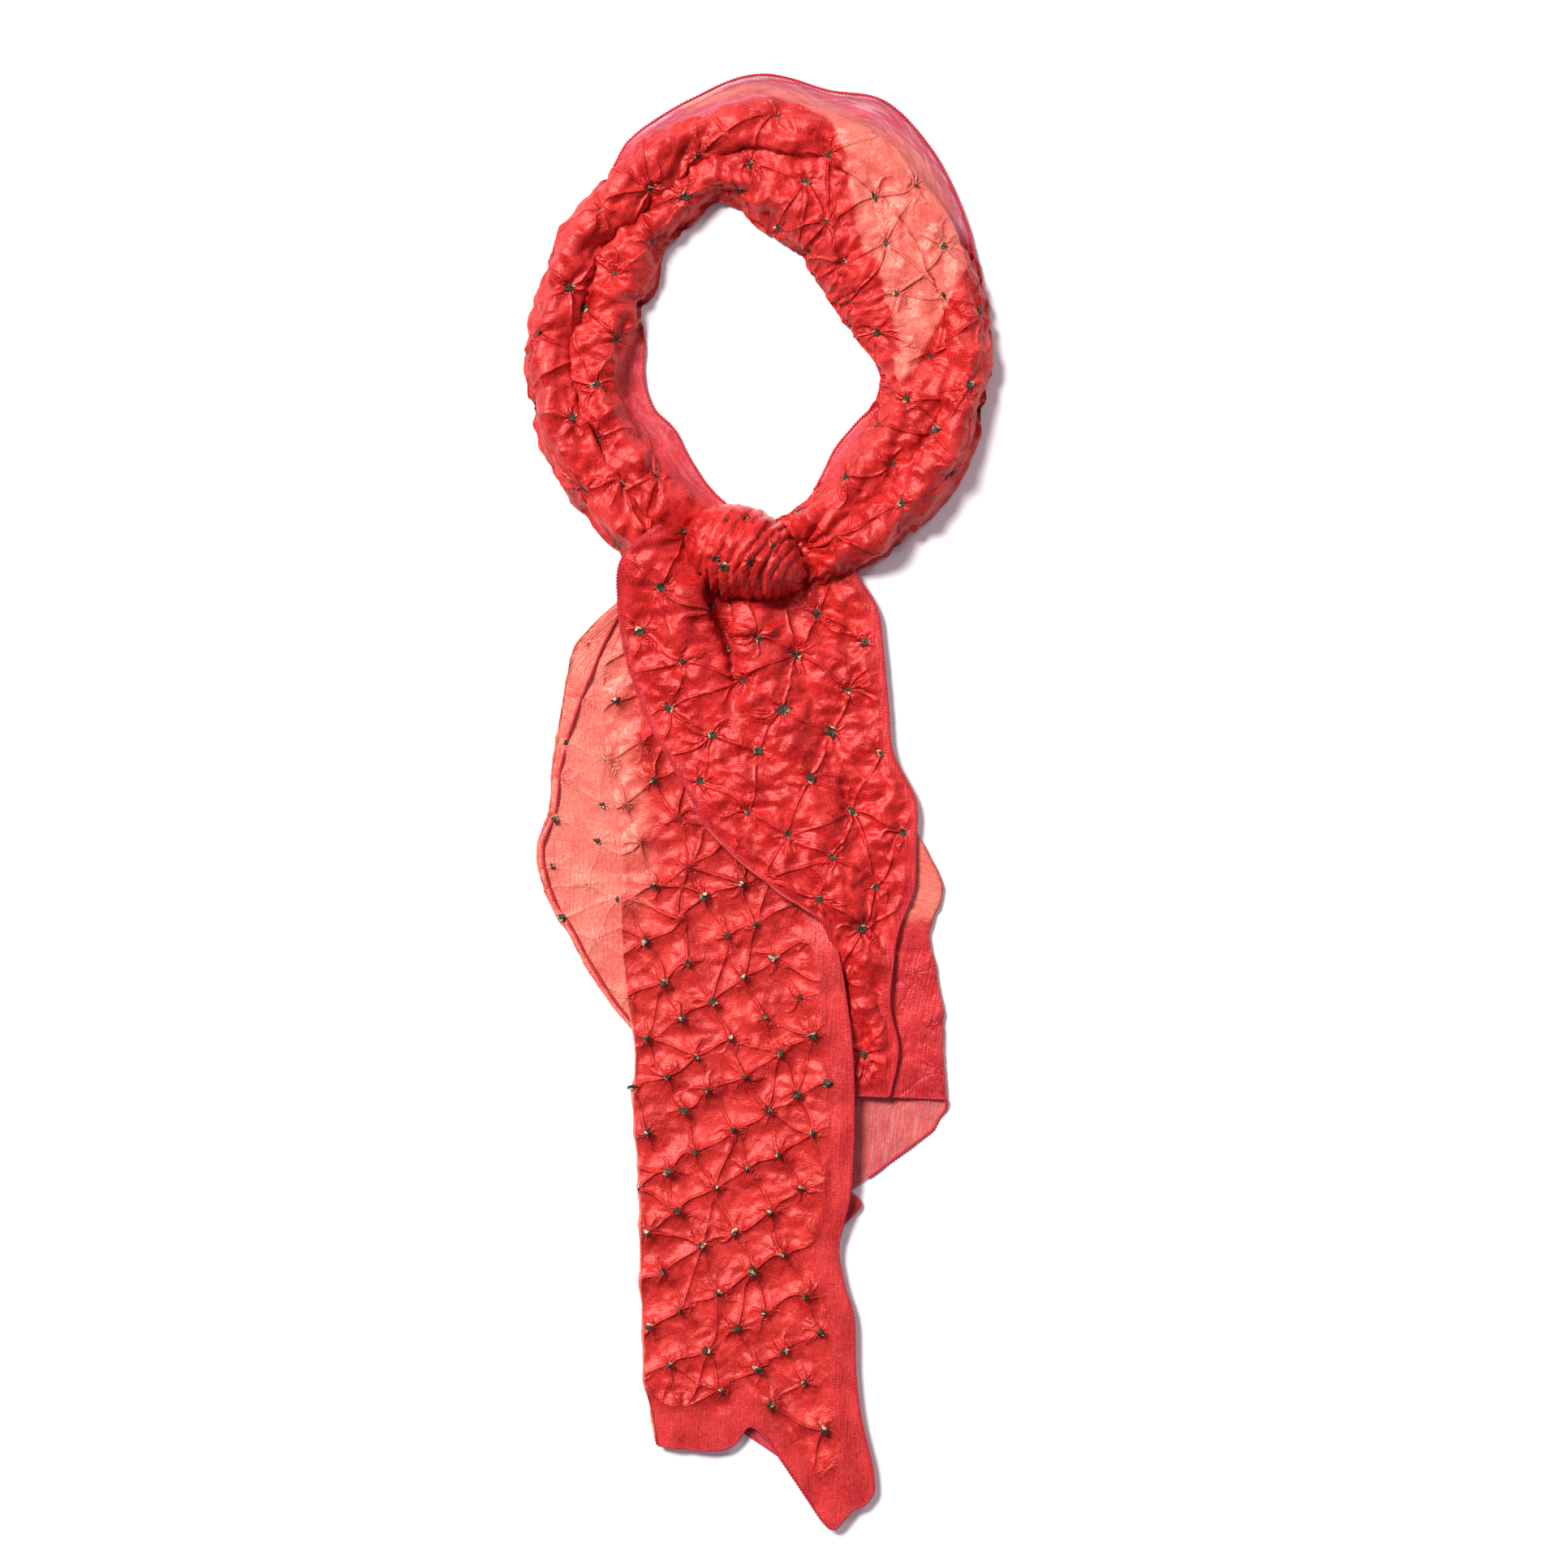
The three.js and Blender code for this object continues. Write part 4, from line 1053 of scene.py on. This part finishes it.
def roll_hem(points):
    """Add one hem along a line of the cloth, with closed ends."""
    line, at = even_line(points, STITCH / 3)
    for _ in range(4):
        line[1:-1] = (line[:-2] + 2 * line[1:-1] + line[2:]) / 4
    side, over = side_and_over(line)
    sway = SWAY * np.sin(2 * math.pi * at / STITCH)
    fat = HEM_RADIUS * (1 + 0.16 * np.cos(4 * math.pi * at / STITCH)
                        + 0.12 * waves(at, 0 * at, 9, 81))
    taper = np.clip(np.minimum(at, at[-1] - at) / 1.5 + 0.15, 0, 1)
    ring_angle = np.linspace(0, 2 * math.pi, HEM_SIDES, endpoint=False)
    tube = ((line + side * sway[:, None])[:, None] + (fat * taper)[:, None, None]
            * (side[:, None] * np.cos(ring_angle)[None, :, None] * 1.1
               + over[:, None] * np.sin(ring_angle)[None, :, None] * 0.8))
    tube[..., 2] = np.maximum(tube[..., 2], TABLE_GAP)
    k = np.arange(len(at) * HEM_SIDES).reshape(len(at), HEM_SIDES)
    k += sum(len(p) for p in hem_points)
    around = np.roll(k, -1, axis=1)
    hem_faces.extend(np.stack([k[:-1], around[:-1], around[1:], k[1:]], -1).reshape(-1, 4).tolist())
    hem_faces.extend([k[0][::-1].tolist(), k[-1].tolist()])
    hem_points.append(tube.reshape(-1, 3))
    hem_uvs.append(np.stack([np.repeat(at, HEM_SIDES), np.tile(ring_angle, len(at))], -1))
    return at[-1]


total = 0
for line, kept in hem_lines:
    for a, b in (runs(kept) if kept is not None else [(0, len(line))]):
        total += roll_hem(line[a:b])
hems = cloth_object("hems", np.concatenate(hem_points), hem_faces, "along_hem",
                    np.concatenate(hem_uvs))
print("hems:", round(total), "mm long,", len(hem_faces), "faces")

# %% [markdown]
# ## A tip and a pit
# Where the thread was wound, the cloth is pinched into a tiny crumpled square. One tip and one pit
# are modelled from a short cone: cut once at a third of its height, made a bit square, and with
# its top pressed in. Both need only a few faces, because they are copied many times.

# %% A tip and a pit
TIP_SIZE, PIT_SIZE = 2.5, 3.1       # radius at the foot, millimetres
CUT_AT = 0.3                        # where the cone is cut, as a share of its height


def model_point(name, foot, top, height, depth, sides=8):
    """A short crumpled cone: foot ring, shoulder ring and a closed, pinched top."""
    bpy.ops.object.select_all(action="DESELECT")
    bpy.ops.mesh.primitive_cone_add(vertices=sides, radius1=foot, radius2=top, depth=height,
                                    location=(0, 0, height / 2), end_fill_type="TRIFAN")
    made = bpy.context.object
    made.name = name
    bpy.ops.object.mode_set(mode="EDIT")
    bpy.ops.mesh.select_all(action="SELECT")
    bpy.ops.mesh.bisect(plane_co=(0, 0, CUT_AT * height), plane_no=(0, 0, 1))
    bpy.ops.object.mode_set(mode="OBJECT")
    bpy.ops.object.transform_apply(location=True)
    shape = np.array([v.co[:] for v in made.data.vertices])
    ring = np.hypot(shape[:, 0], shape[:, 1])
    angle = np.arctan2(shape[:, 1], shape[:, 0])
    shape[:, :2] *= (1 + 0.22 * np.cos(4 * angle) + 0.1 * np.cos(3 * angle + 1))[:, None]
    shape[(ring < 0.1) & (shape[:, 2] > 0.5 * height), 2] -= depth
    polygons = [list(p.vertices) for p in made.data.polygons if not (p.center.z < 0.01)]
    bpy.data.objects.remove(made)
    return shape, polygons


kinds = {"tip": model_point("tied_tip", TIP_SIZE, 1.0, 3.1, 0.5),
         "pit": model_point("tied_pit", PIT_SIZE, 2.1, 0.6, 0.45)}
print("a tip has", len(kinds["tip"][1]), "faces")

# %% [markdown]
# ## A copy at every tie
# Each place gets its own copy, turned, sized, leant and crumpled a little differently. The dye
# hardly reached the cloth under the thread, so a point is olive grey. On one side, where the
# thread sat tightest, it stayed cream. Each face is told here which of the two it gets.

# %% A copy at every tie
variety = np.random.default_rng(99)
RAISED = {"tip": -0.5, "pit": 0.15}    # above the cloth, millimetres
point_xyz, point_faces, point_pale = [], [], []


def point_frame(up, kind, spin, lean):
    """Three directions for one point: two across it, and the way that it points."""
    if kind == "tip" and up[2] > 0.3:
        axis = np.array([0.25 * up[0] + lean[0], 0.25 * up[1] + lean[1], max(up[2], 0.35)])
    else:
        axis = up + np.array([*lean, 0])
    axis = axis / np.linalg.norm(axis)
    one = np.cross(axis, [math.cos(spin), math.sin(spin), 0.1])
    one /= np.linalg.norm(one)
    return one, np.cross(axis, one), axis


for place, up, kind in tie_places:
    shape, polygons = kinds[kind]
    size = variety.uniform(0.7, 1.2) * variety.uniform((0.65, 0.9, 0.7), (1.0, 1.3, 1.2))
    spin = variety.uniform(0, 2 * math.pi)
    lean = variety.normal(0, 0.5 if kind == "tip" else 0.1, 2)
    one, two, axis = point_frame(up, kind, spin, lean)
    local = shape * size + variety.normal(0, 0.22, shape.shape)
    world = (place + axis * RAISED[kind] + local[:, :1] * one + local[:, 1:2] * two
             + local[:, 2:] * axis)
    world[:, 2] = np.maximum(world[:, 2], 0.1)
    first = sum(len(p) for p in point_xyz)
    point_xyz.append(world)
    point_faces.extend([[first + v for v in polygon] for polygon in polygons])
    undyed = variety.uniform(0, 2 * math.pi)        # the side where the thread kept the dye out
    for polygon in polygons:
        middle = shape[polygon].mean(0)
        turned = math.cos(math.atan2(middle[1], middle[0]) - undyed)
        outer = kind == "tip" or math.hypot(middle[0], middle[1]) > 0.5 * PIT_SIZE
        point_pale.append(outer and turned > variety.uniform(0.0, 1.05))
tied_points = cloth_object("tied_points", np.concatenate(point_xyz), point_faces)
print("tied points:", len(tie_places), "copies,", len(point_faces), "faces")

# %% [markdown]
# ## The look of silk
# Satin has long floating threads, so it mirrors softly, and its slubs give a fine grain. Colour
# and relief are worked out by shader nodes, so the file needs no images. A few helpers keep the
# long chains of nodes short enough to read.

# %% Node helpers
def add(tree, kind, wires=None, **settings):
    """A shader node with its settings, and its sockets wired or set."""
    made = tree.nodes.new(kind)
    for name, value in settings.items():
        setattr(made, name, value)
    for name, source in (wires or {}).items():
        if isinstance(source, bpy.types.NodeSocket):
            tree.links.new(source, made.inputs[name])
        else:
            made.inputs[name].default_value = source
    return made


def maths(tree, operation, *values, clamp=False):
    """One step of arithmetic on sockets or numbers."""
    return add(tree, "ShaderNodeMath", dict(enumerate(values)), operation=operation,
               use_clamp=clamp).outputs[0]


def noise(tree, place, scale, detail):
    return add(tree, "ShaderNodeTexNoise", {"Vector": place, "Scale": scale, "Detail": detail})


def ramp(tree, value, low, high, start=0.0, end=1.0):
    """A value stretched so that low gives start and high gives end."""
    return add(tree, "ShaderNodeMapRange", {"Value": value, "From Min": low, "From Max": high,
                                            "To Min": start, "To Max": end}).outputs[0]


def blend(tree, share, first, second):
    """Two colours, mixed by a share that changes over the cloth."""
    return add(tree, "ShaderNodeMix", {0: share, 6: first, 7: second},
               data_type="RGBA").outputs[2]


def new_group(name, inputs, outputs):
    """An empty shader group with named inputs and outputs."""
    group = bpy.data.node_groups.new(name, "ShaderNodeTree")
    for label, kind, value in inputs:
        socket = group.interface.new_socket(label, in_out="INPUT", socket_type=kind)
        if value is not None:
            socket.default_value = value
    for label in outputs:
        group.interface.new_socket(label, in_out="OUTPUT", socket_type="NodeSocketFloat")
    return group, group.nodes.new("NodeGroupInput"), group.nodes.new("NodeGroupOutput")


print("node helpers:", [helper.__name__ for helper in (add, maths, noise, ramp, blend)])

# %% [markdown]
# ## The grain of the silk
# The group `silk_grain` is shared by silk, hem and points. It draws noise out along the threads,
# one way and the other: these are the slubs, where a thread is a little thicker. Two patterns of
# flat-sided cells, one turned against the other, give the small crumples between the folds. The
# comb is a much longer streak, for the ripple of the thin border.

# %% The grain of the silk
SLUB_HEIGHT = 0.20          # millimetres

grain, g_in, g_out = new_group(
    "silk_grain", [("Place", "NodeSocketVector", None), ("Slub", "NodeSocketFloat", 1.0),
                   ("Crumple", "NodeSocketFloat", 1.0), ("Ripple", "NodeSocketFloat", 0.0)],
    ["Height", "Shade", "Comb"])
flat_place = g_in.outputs["Place"]


def streaks(scale):
    """Noise drawn out along one direction of the cloth."""
    drawn = add(grain, "ShaderNodeMapping", {"Vector": flat_place, "Scale": scale})
    return noise(grain, drawn.outputs[0], 1.0, 2.0).outputs["Fac"]


def flat_sides(at, scale):
    """Cells with flat sides, highest along the lines where they meet."""
    return add(grain, "ShaderNodeTexVoronoi", {"Vector": at.outputs[0], "Scale": scale},
               distance="CHEBYCHEV").outputs["Distance"]


slub = maths(grain, "ADD", streaks((1.5, 0.32, 1)), streaks((0.36, 1.7, 1)))
slub = maths(grain, "MULTIPLY", maths(grain, "SUBTRACT", slub, 1.0), g_in.outputs["Slub"])
drift = noise(grain, flat_place, 0.11, 1.0).outputs["Color"]
drift = add(grain, "ShaderNodeVectorMath", {0: drift, "Scale": 9.0}, operation="SCALE")
bent = add(grain, "ShaderNodeVectorMath", {0: flat_place, 1: drift.outputs[0]}, operation="ADD")
turned = add(grain, "ShaderNodeMapping", {"Vector": bent.outputs[0], "Rotation": (0, 0, 0.75)})
flats = maths(grain, "SUBTRACT", maths(grain, "MULTIPLY", flat_sides(bent, 0.13), 1.9),
              flat_sides(turned, 0.22))
flats = maths(grain, "MULTIPLY", flats, g_in.outputs["Crumple"])
comb = ramp(grain, streaks((0.75, 0.06, 1)), 0.41, 0.59)
flats = maths(grain, "ADD", flats, maths(grain, "MULTIPLY", comb, g_in.outputs["Ripple"]))
height = maths(grain, "ADD", maths(grain, "MULTIPLY", slub, SLUB_HEIGHT), flats)
for label, value in (("Height", height), ("Shade", slub), ("Comb", comb)):
    grain.links.new(value, g_out.inputs[label])
print("group", grain.name, "with", len(grain.nodes), "nodes")

# %% [markdown]
# ## The creases that the thread left
# The finest creases are narrower than the grid of the mesh. The group `thread_creases` draws them
# from the distances that the mesh carries: a sharp ridge where the distance to a crease is small,
# and a star of pleats round each tied point. They stay sharp however large they are drawn, as an
# image would not.

# %% The creases that the thread left
RIDGE_WIDTH = 0.95          # half the width of a ridge, millimetres
STAR_PLEATS = 9.0           # pleats round one tied point
STAR_REACH = 8.0            # how far out they go, millimetres

creases, c_in, c_out = new_group(
    "thread_creases", [("Crease", "NodeSocketFloat", 9.0), ("Near", "NodeSocketFloat", 9.0),
                       ("Power", "NodeSocketFloat", 0.0), ("Away", "NodeSocketFloat", 99.0),
                       ("From Tie", "NodeSocketVector", None),
                       ("Plain", "NodeSocketFloat", 0.0)], ["Height"])


def crease_maths(operation, *values, clamp=False):
    return maths(creases, operation, *values, clamp=clamp)


beside = crease_maths("DIVIDE", c_in.outputs["Crease"], RIDGE_WIDTH)
beside = crease_maths("MULTIPLY", crease_maths("POWER", beside, 2.0), -1)
ridge = crease_maths("MULTIPLY", crease_maths("POWER", 2.718, beside), c_in.outputs["Power"])
ridge = crease_maths("MULTIPLY", ridge, ramp(creases, c_in.outputs["Near"], 1.1, 2.0, 1.0, 0.0))
split = add(creases, "ShaderNodeSeparateXYZ", {"Vector": c_in.outputs["From Tie"]})
away = c_in.outputs["Away"]
angle = crease_maths("ARCTAN2", split.outputs[1], split.outputs[0])
phase = crease_maths("MULTIPLY", split.outputs[2], 6.28)
wound = crease_maths("ADD", phase, crease_maths("MULTIPLY", away, 0.12))
pleat = crease_maths("ADD", crease_maths("MULTIPLY", angle, STAR_PLEATS), wound)
reach = crease_maths("SUBTRACT", 1.0, crease_maths("MULTIPLY", away, 1 / STAR_REACH), clamp=True)
pleat = crease_maths("MULTIPLY", crease_maths("COSINE", pleat), crease_maths("POWER", reach, 2.0))
relief = crease_maths("ADD", ridge, crease_maths("MULTIPLY", pleat, 0.45))
not_plain = crease_maths("SUBTRACT", 1.0, c_in.outputs["Plain"])
creases.links.new(crease_maths("MULTIPLY", relief, not_plain), c_out.inputs["Height"])
print("group", creases.name, "with", len(creases.nodes), "nodes")

# %% [markdown]
# ## The silk: what the mesh tells
# The material starts from what the sheet carries: the flat cloth as UV map, and the marks as
# attributes. Both groups are fed from these. Plain cloth, which was never tied, has fewer
# crumples, and the sheer border ripples more.

# %% The silk: what the mesh tells
satin = bpy.data.materials.new("tie_dyed_satin")
satin.use_nodes = True
tree = satin.node_tree
shader = tree.nodes["Principled BSDF"]


def read(name, output="Fac"):
    return add(tree, "ShaderNodeAttribute", attribute_name=name).outputs[output]


def satin_maths(operation, *values, clamp=False):
    return maths(tree, operation, *values, clamp=clamp)


flat_cloth = add(tree, "ShaderNodeUVMap", uv_map="flat_cloth").outputs[0]
crease_node = add(tree, "ShaderNodeGroup", node_tree=creases)
for label in ("Crease", "Near", "Power", "Away", "Plain"):
    tree.links.new(read(label.lower()), crease_node.inputs[label])
tree.links.new(read("from_tie", "Vector"), crease_node.inputs["From Tie"])
grain_node = add(tree, "ShaderNodeGroup", node_tree=grain)
crumpled = satin_maths("SUBTRACT", 0.26, satin_maths("MULTIPLY", read("plain"), 0.16))
rippled = satin_maths("ADD", satin_maths("MULTIPLY", read("plain"), 0.15),
                      satin_maths("MULTIPLY", read("sheer"), 0.5))
for label, value in (("Place", flat_cloth), ("Crumple", crumpled), ("Ripple", rippled)):
    tree.links.new(value, grain_node.inputs[label])
print("material", satin.name, "reads", [*MARKS, "from_tie"])

# %% [markdown]
# ## The silk: three dyes
# The red is a scarlet that is deeper in patches. The patches are partly dye that didn't soak in
# evenly and partly painted satin sheen: they stand for the bright and dark sheen of the satin. The
# upper right of the ring was dipped in a lighter bath and is coral. The sheer border is a pinker
# red with pale streaks. Every dye is a pair of colours, mixed by these patches and by the grain.

# %% The silk: three dyes
SCARLET, DEEP_RED = (0.63, 0.024, 0.021, 1), (0.34, 0.003, 0.003, 1)
CORAL, PALE_CORAL = (0.70, 0.105, 0.078, 1), (0.82, 0.215, 0.155, 1)
BORDER_PINK, BORDER_PALE = (0.60, 0.022, 0.075, 1), (0.80, 0.170, 0.260, 1)
BORDER_SHARE = 0.85         # how much of the border's own dye the sheerest cloth has

# painted sheen: these patches of deeper and lighter red stand partly for the satin's sheen and
# partly for uneven dye
dye_and_sheen_patches = ramp(tree, noise(tree, flat_cloth, 0.045, 3.0).outputs["Fac"], 0.40, 0.58)
dye_sheen_and_grain = satin_maths("ADD", satin_maths("MULTIPLY_ADD", dye_and_sheen_patches, 0.56, 0.22),
                     satin_maths("MULTIPLY", grain_node.outputs["Shade"], 2.2), clamp=True)
dyed = blend(tree, read("coral"), blend(tree, dye_sheen_and_grain, DEEP_RED, SCARLET),
             blend(tree, dye_sheen_and_grain, CORAL, PALE_CORAL))
border = satin_maths("MULTIPLY", read("sheer"), satin_maths("SUBTRACT", 1.0, read("coral")))
pink = blend(tree, grain_node.outputs["Comb"], BORDER_PINK, BORDER_PALE)
dyed = blend(tree, satin_maths("MULTIPLY", border, BORDER_SHARE), dyed, pink)
tree.links.new(dyed, shader.inputs["Base Color"])
print("dyes:", {"scarlet": SCARLET[:3], "coral": CORAL[:3], "border": BORDER_PINK[:3]})

# %% [markdown]
# ## The silk: relief, gloss and sheer cloth
# The creases and the grain become a bump, since they are finer than the mesh. Satin mirrors along
# its floating threads, so the gloss is drawn out along the flat cloth, and tinted by the dye.
# Where the cloth is sheer, some light goes through, and most along the pale streaks.

# %% The silk: relief, gloss and sheer cloth
CREASE_HEIGHT = 1.5         # millimetres
SHEER_ALPHA = 0.55          # how much the sheerest cloth lets through
SATIN = {"Metallic": 0.12,  # the share of light that the long threads mirror in their own colour
         "Specular IOR Level": 0.65, "Specular Tint": (1.0, 0.58, 0.54, 1), "Anisotropic": 0.55,
         "Sheen Weight": 0.05, "Sheen Roughness": 0.35, "Sheen Tint": (1.0, 0.45, 0.42, 1)}

height = satin_maths("MULTIPLY", crease_node.outputs["Height"], CREASE_HEIGHT)
height = satin_maths("ADD", height, grain_node.outputs["Height"])
bump = add(tree, "ShaderNodeBump", {"Height": height, "Distance": MM, "Strength": 1.0})
threads = add(tree, "ShaderNodeTangent", direction_type="UV_MAP", uv_map="flat_cloth")
open_weave = satin_maths("ADD", 0.6, satin_maths("MULTIPLY", grain_node.outputs["Comb"], 0.6))
sheerness = satin_maths("MULTIPLY", read("sheer"), open_weave)
alpha = satin_maths("SUBTRACT", 1.0, satin_maths("MULTIPLY", sheerness, SHEER_ALPHA), clamp=True)
rough = satin_maths("ADD", 0.42, satin_maths("MULTIPLY", grain_node.outputs["Shade"], -0.12))
for label, value in (("Normal", bump.outputs[0]), ("Tangent", threads.outputs[0]),
                     ("Alpha", alpha), ("Roughness", rough)):
    tree.links.new(value, shader.inputs[label])
for label, value in SATIN.items():
    shader.inputs[label].default_value = value
silk.data.materials.append(satin)
print("material", satin.name, "with", len(tree.nodes), "nodes")

# %% [markdown]
# ## Hem and undyed cloth
# The hem thread is a deeper red than the silk. The tied points are olive grey with cream sides.
# All three are dull beside the satin. They differ in colour, in roughness and in the size of
# their spots, so one function makes them.

# %% Hem and undyed cloth
THREAD, THREAD_DARK = (0.50, 0.022, 0.036, 1), (0.33, 0.010, 0.022, 1)
OLIVE, OLIVE_DARK = (0.062, 0.053, 0.024, 1), (0.014, 0.011, 0.005, 1)
CREAM = (0.66, 0.52, 0.36, 1)


def cloth_material(name, light, dark, scale, rough, coordinates):
    """A dyed cloth of two mixed tones with the grain of the silk."""
    made = bpy.data.materials.new(name)
    made.use_nodes = True
    nodes = made.node_tree
    principled = nodes.nodes["Principled BSDF"]
    place = coordinates(nodes)
    tone = ramp(nodes, noise(nodes, place, scale, 2.0).outputs["Fac"], 0.38, 0.62)
    nodes.links.new(blend(nodes, tone, dark, light), principled.inputs["Base Color"])
    fine_grain = add(nodes, "ShaderNodeGroup", node_tree=grain)
    nodes.links.new(place, fine_grain.inputs["Place"])
    fine_grain.inputs["Crumple"].default_value = 0.2
    lift = add(nodes, "ShaderNodeBump", {"Height": fine_grain.outputs["Height"], "Distance": MM,
                                         "Strength": 0.8})
    nodes.links.new(lift.outputs[0], principled.inputs["Normal"])
    principled.inputs["Roughness"].default_value = rough
    principled.inputs["Specular IOR Level"].default_value = 0.25
    return made


def along_hem(nodes):
    return add(nodes, "ShaderNodeUVMap", uv_map="along_hem").outputs[0]


def object_mm(nodes):
    place = add(nodes, "ShaderNodeTexCoord").outputs["Object"]
    return add(nodes, "ShaderNodeMapping",
               {"Vector": place, "Scale": (1000, 1000, 1000)}).outputs[0]


for piece, name, light, dark, scale, rough, coordinates in (
        (hems, "hem_thread", THREAD, THREAD_DARK, 0.8, 0.55, along_hem),
        (tied_points, "olive_silk", OLIVE, OLIVE_DARK, 0.7, 0.6, object_mm),
        (tied_points, "cream_rim", CREAM, OLIVE, 0.5, 0.6, object_mm)):
    piece.data.materials.append(cloth_material(name, light, dark, scale, rough, coordinates))
tied_points.data.polygons.foreach_set("material_index", np.array(point_pale, np.int32))
print("materials:", [m.name for m in (*hems.data.materials, *tied_points.data.materials)])

# %% [markdown]
# ## Hand over
# The silk stands for the solid scarf. The hems and the undyed points are on the same cloth, so
# they are declared as pieces on the sheet. The sheet was a long narrow stole before it was tied.

for piece in (silk, hems, tied_points):
    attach(piece, "root")
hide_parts("scarf")
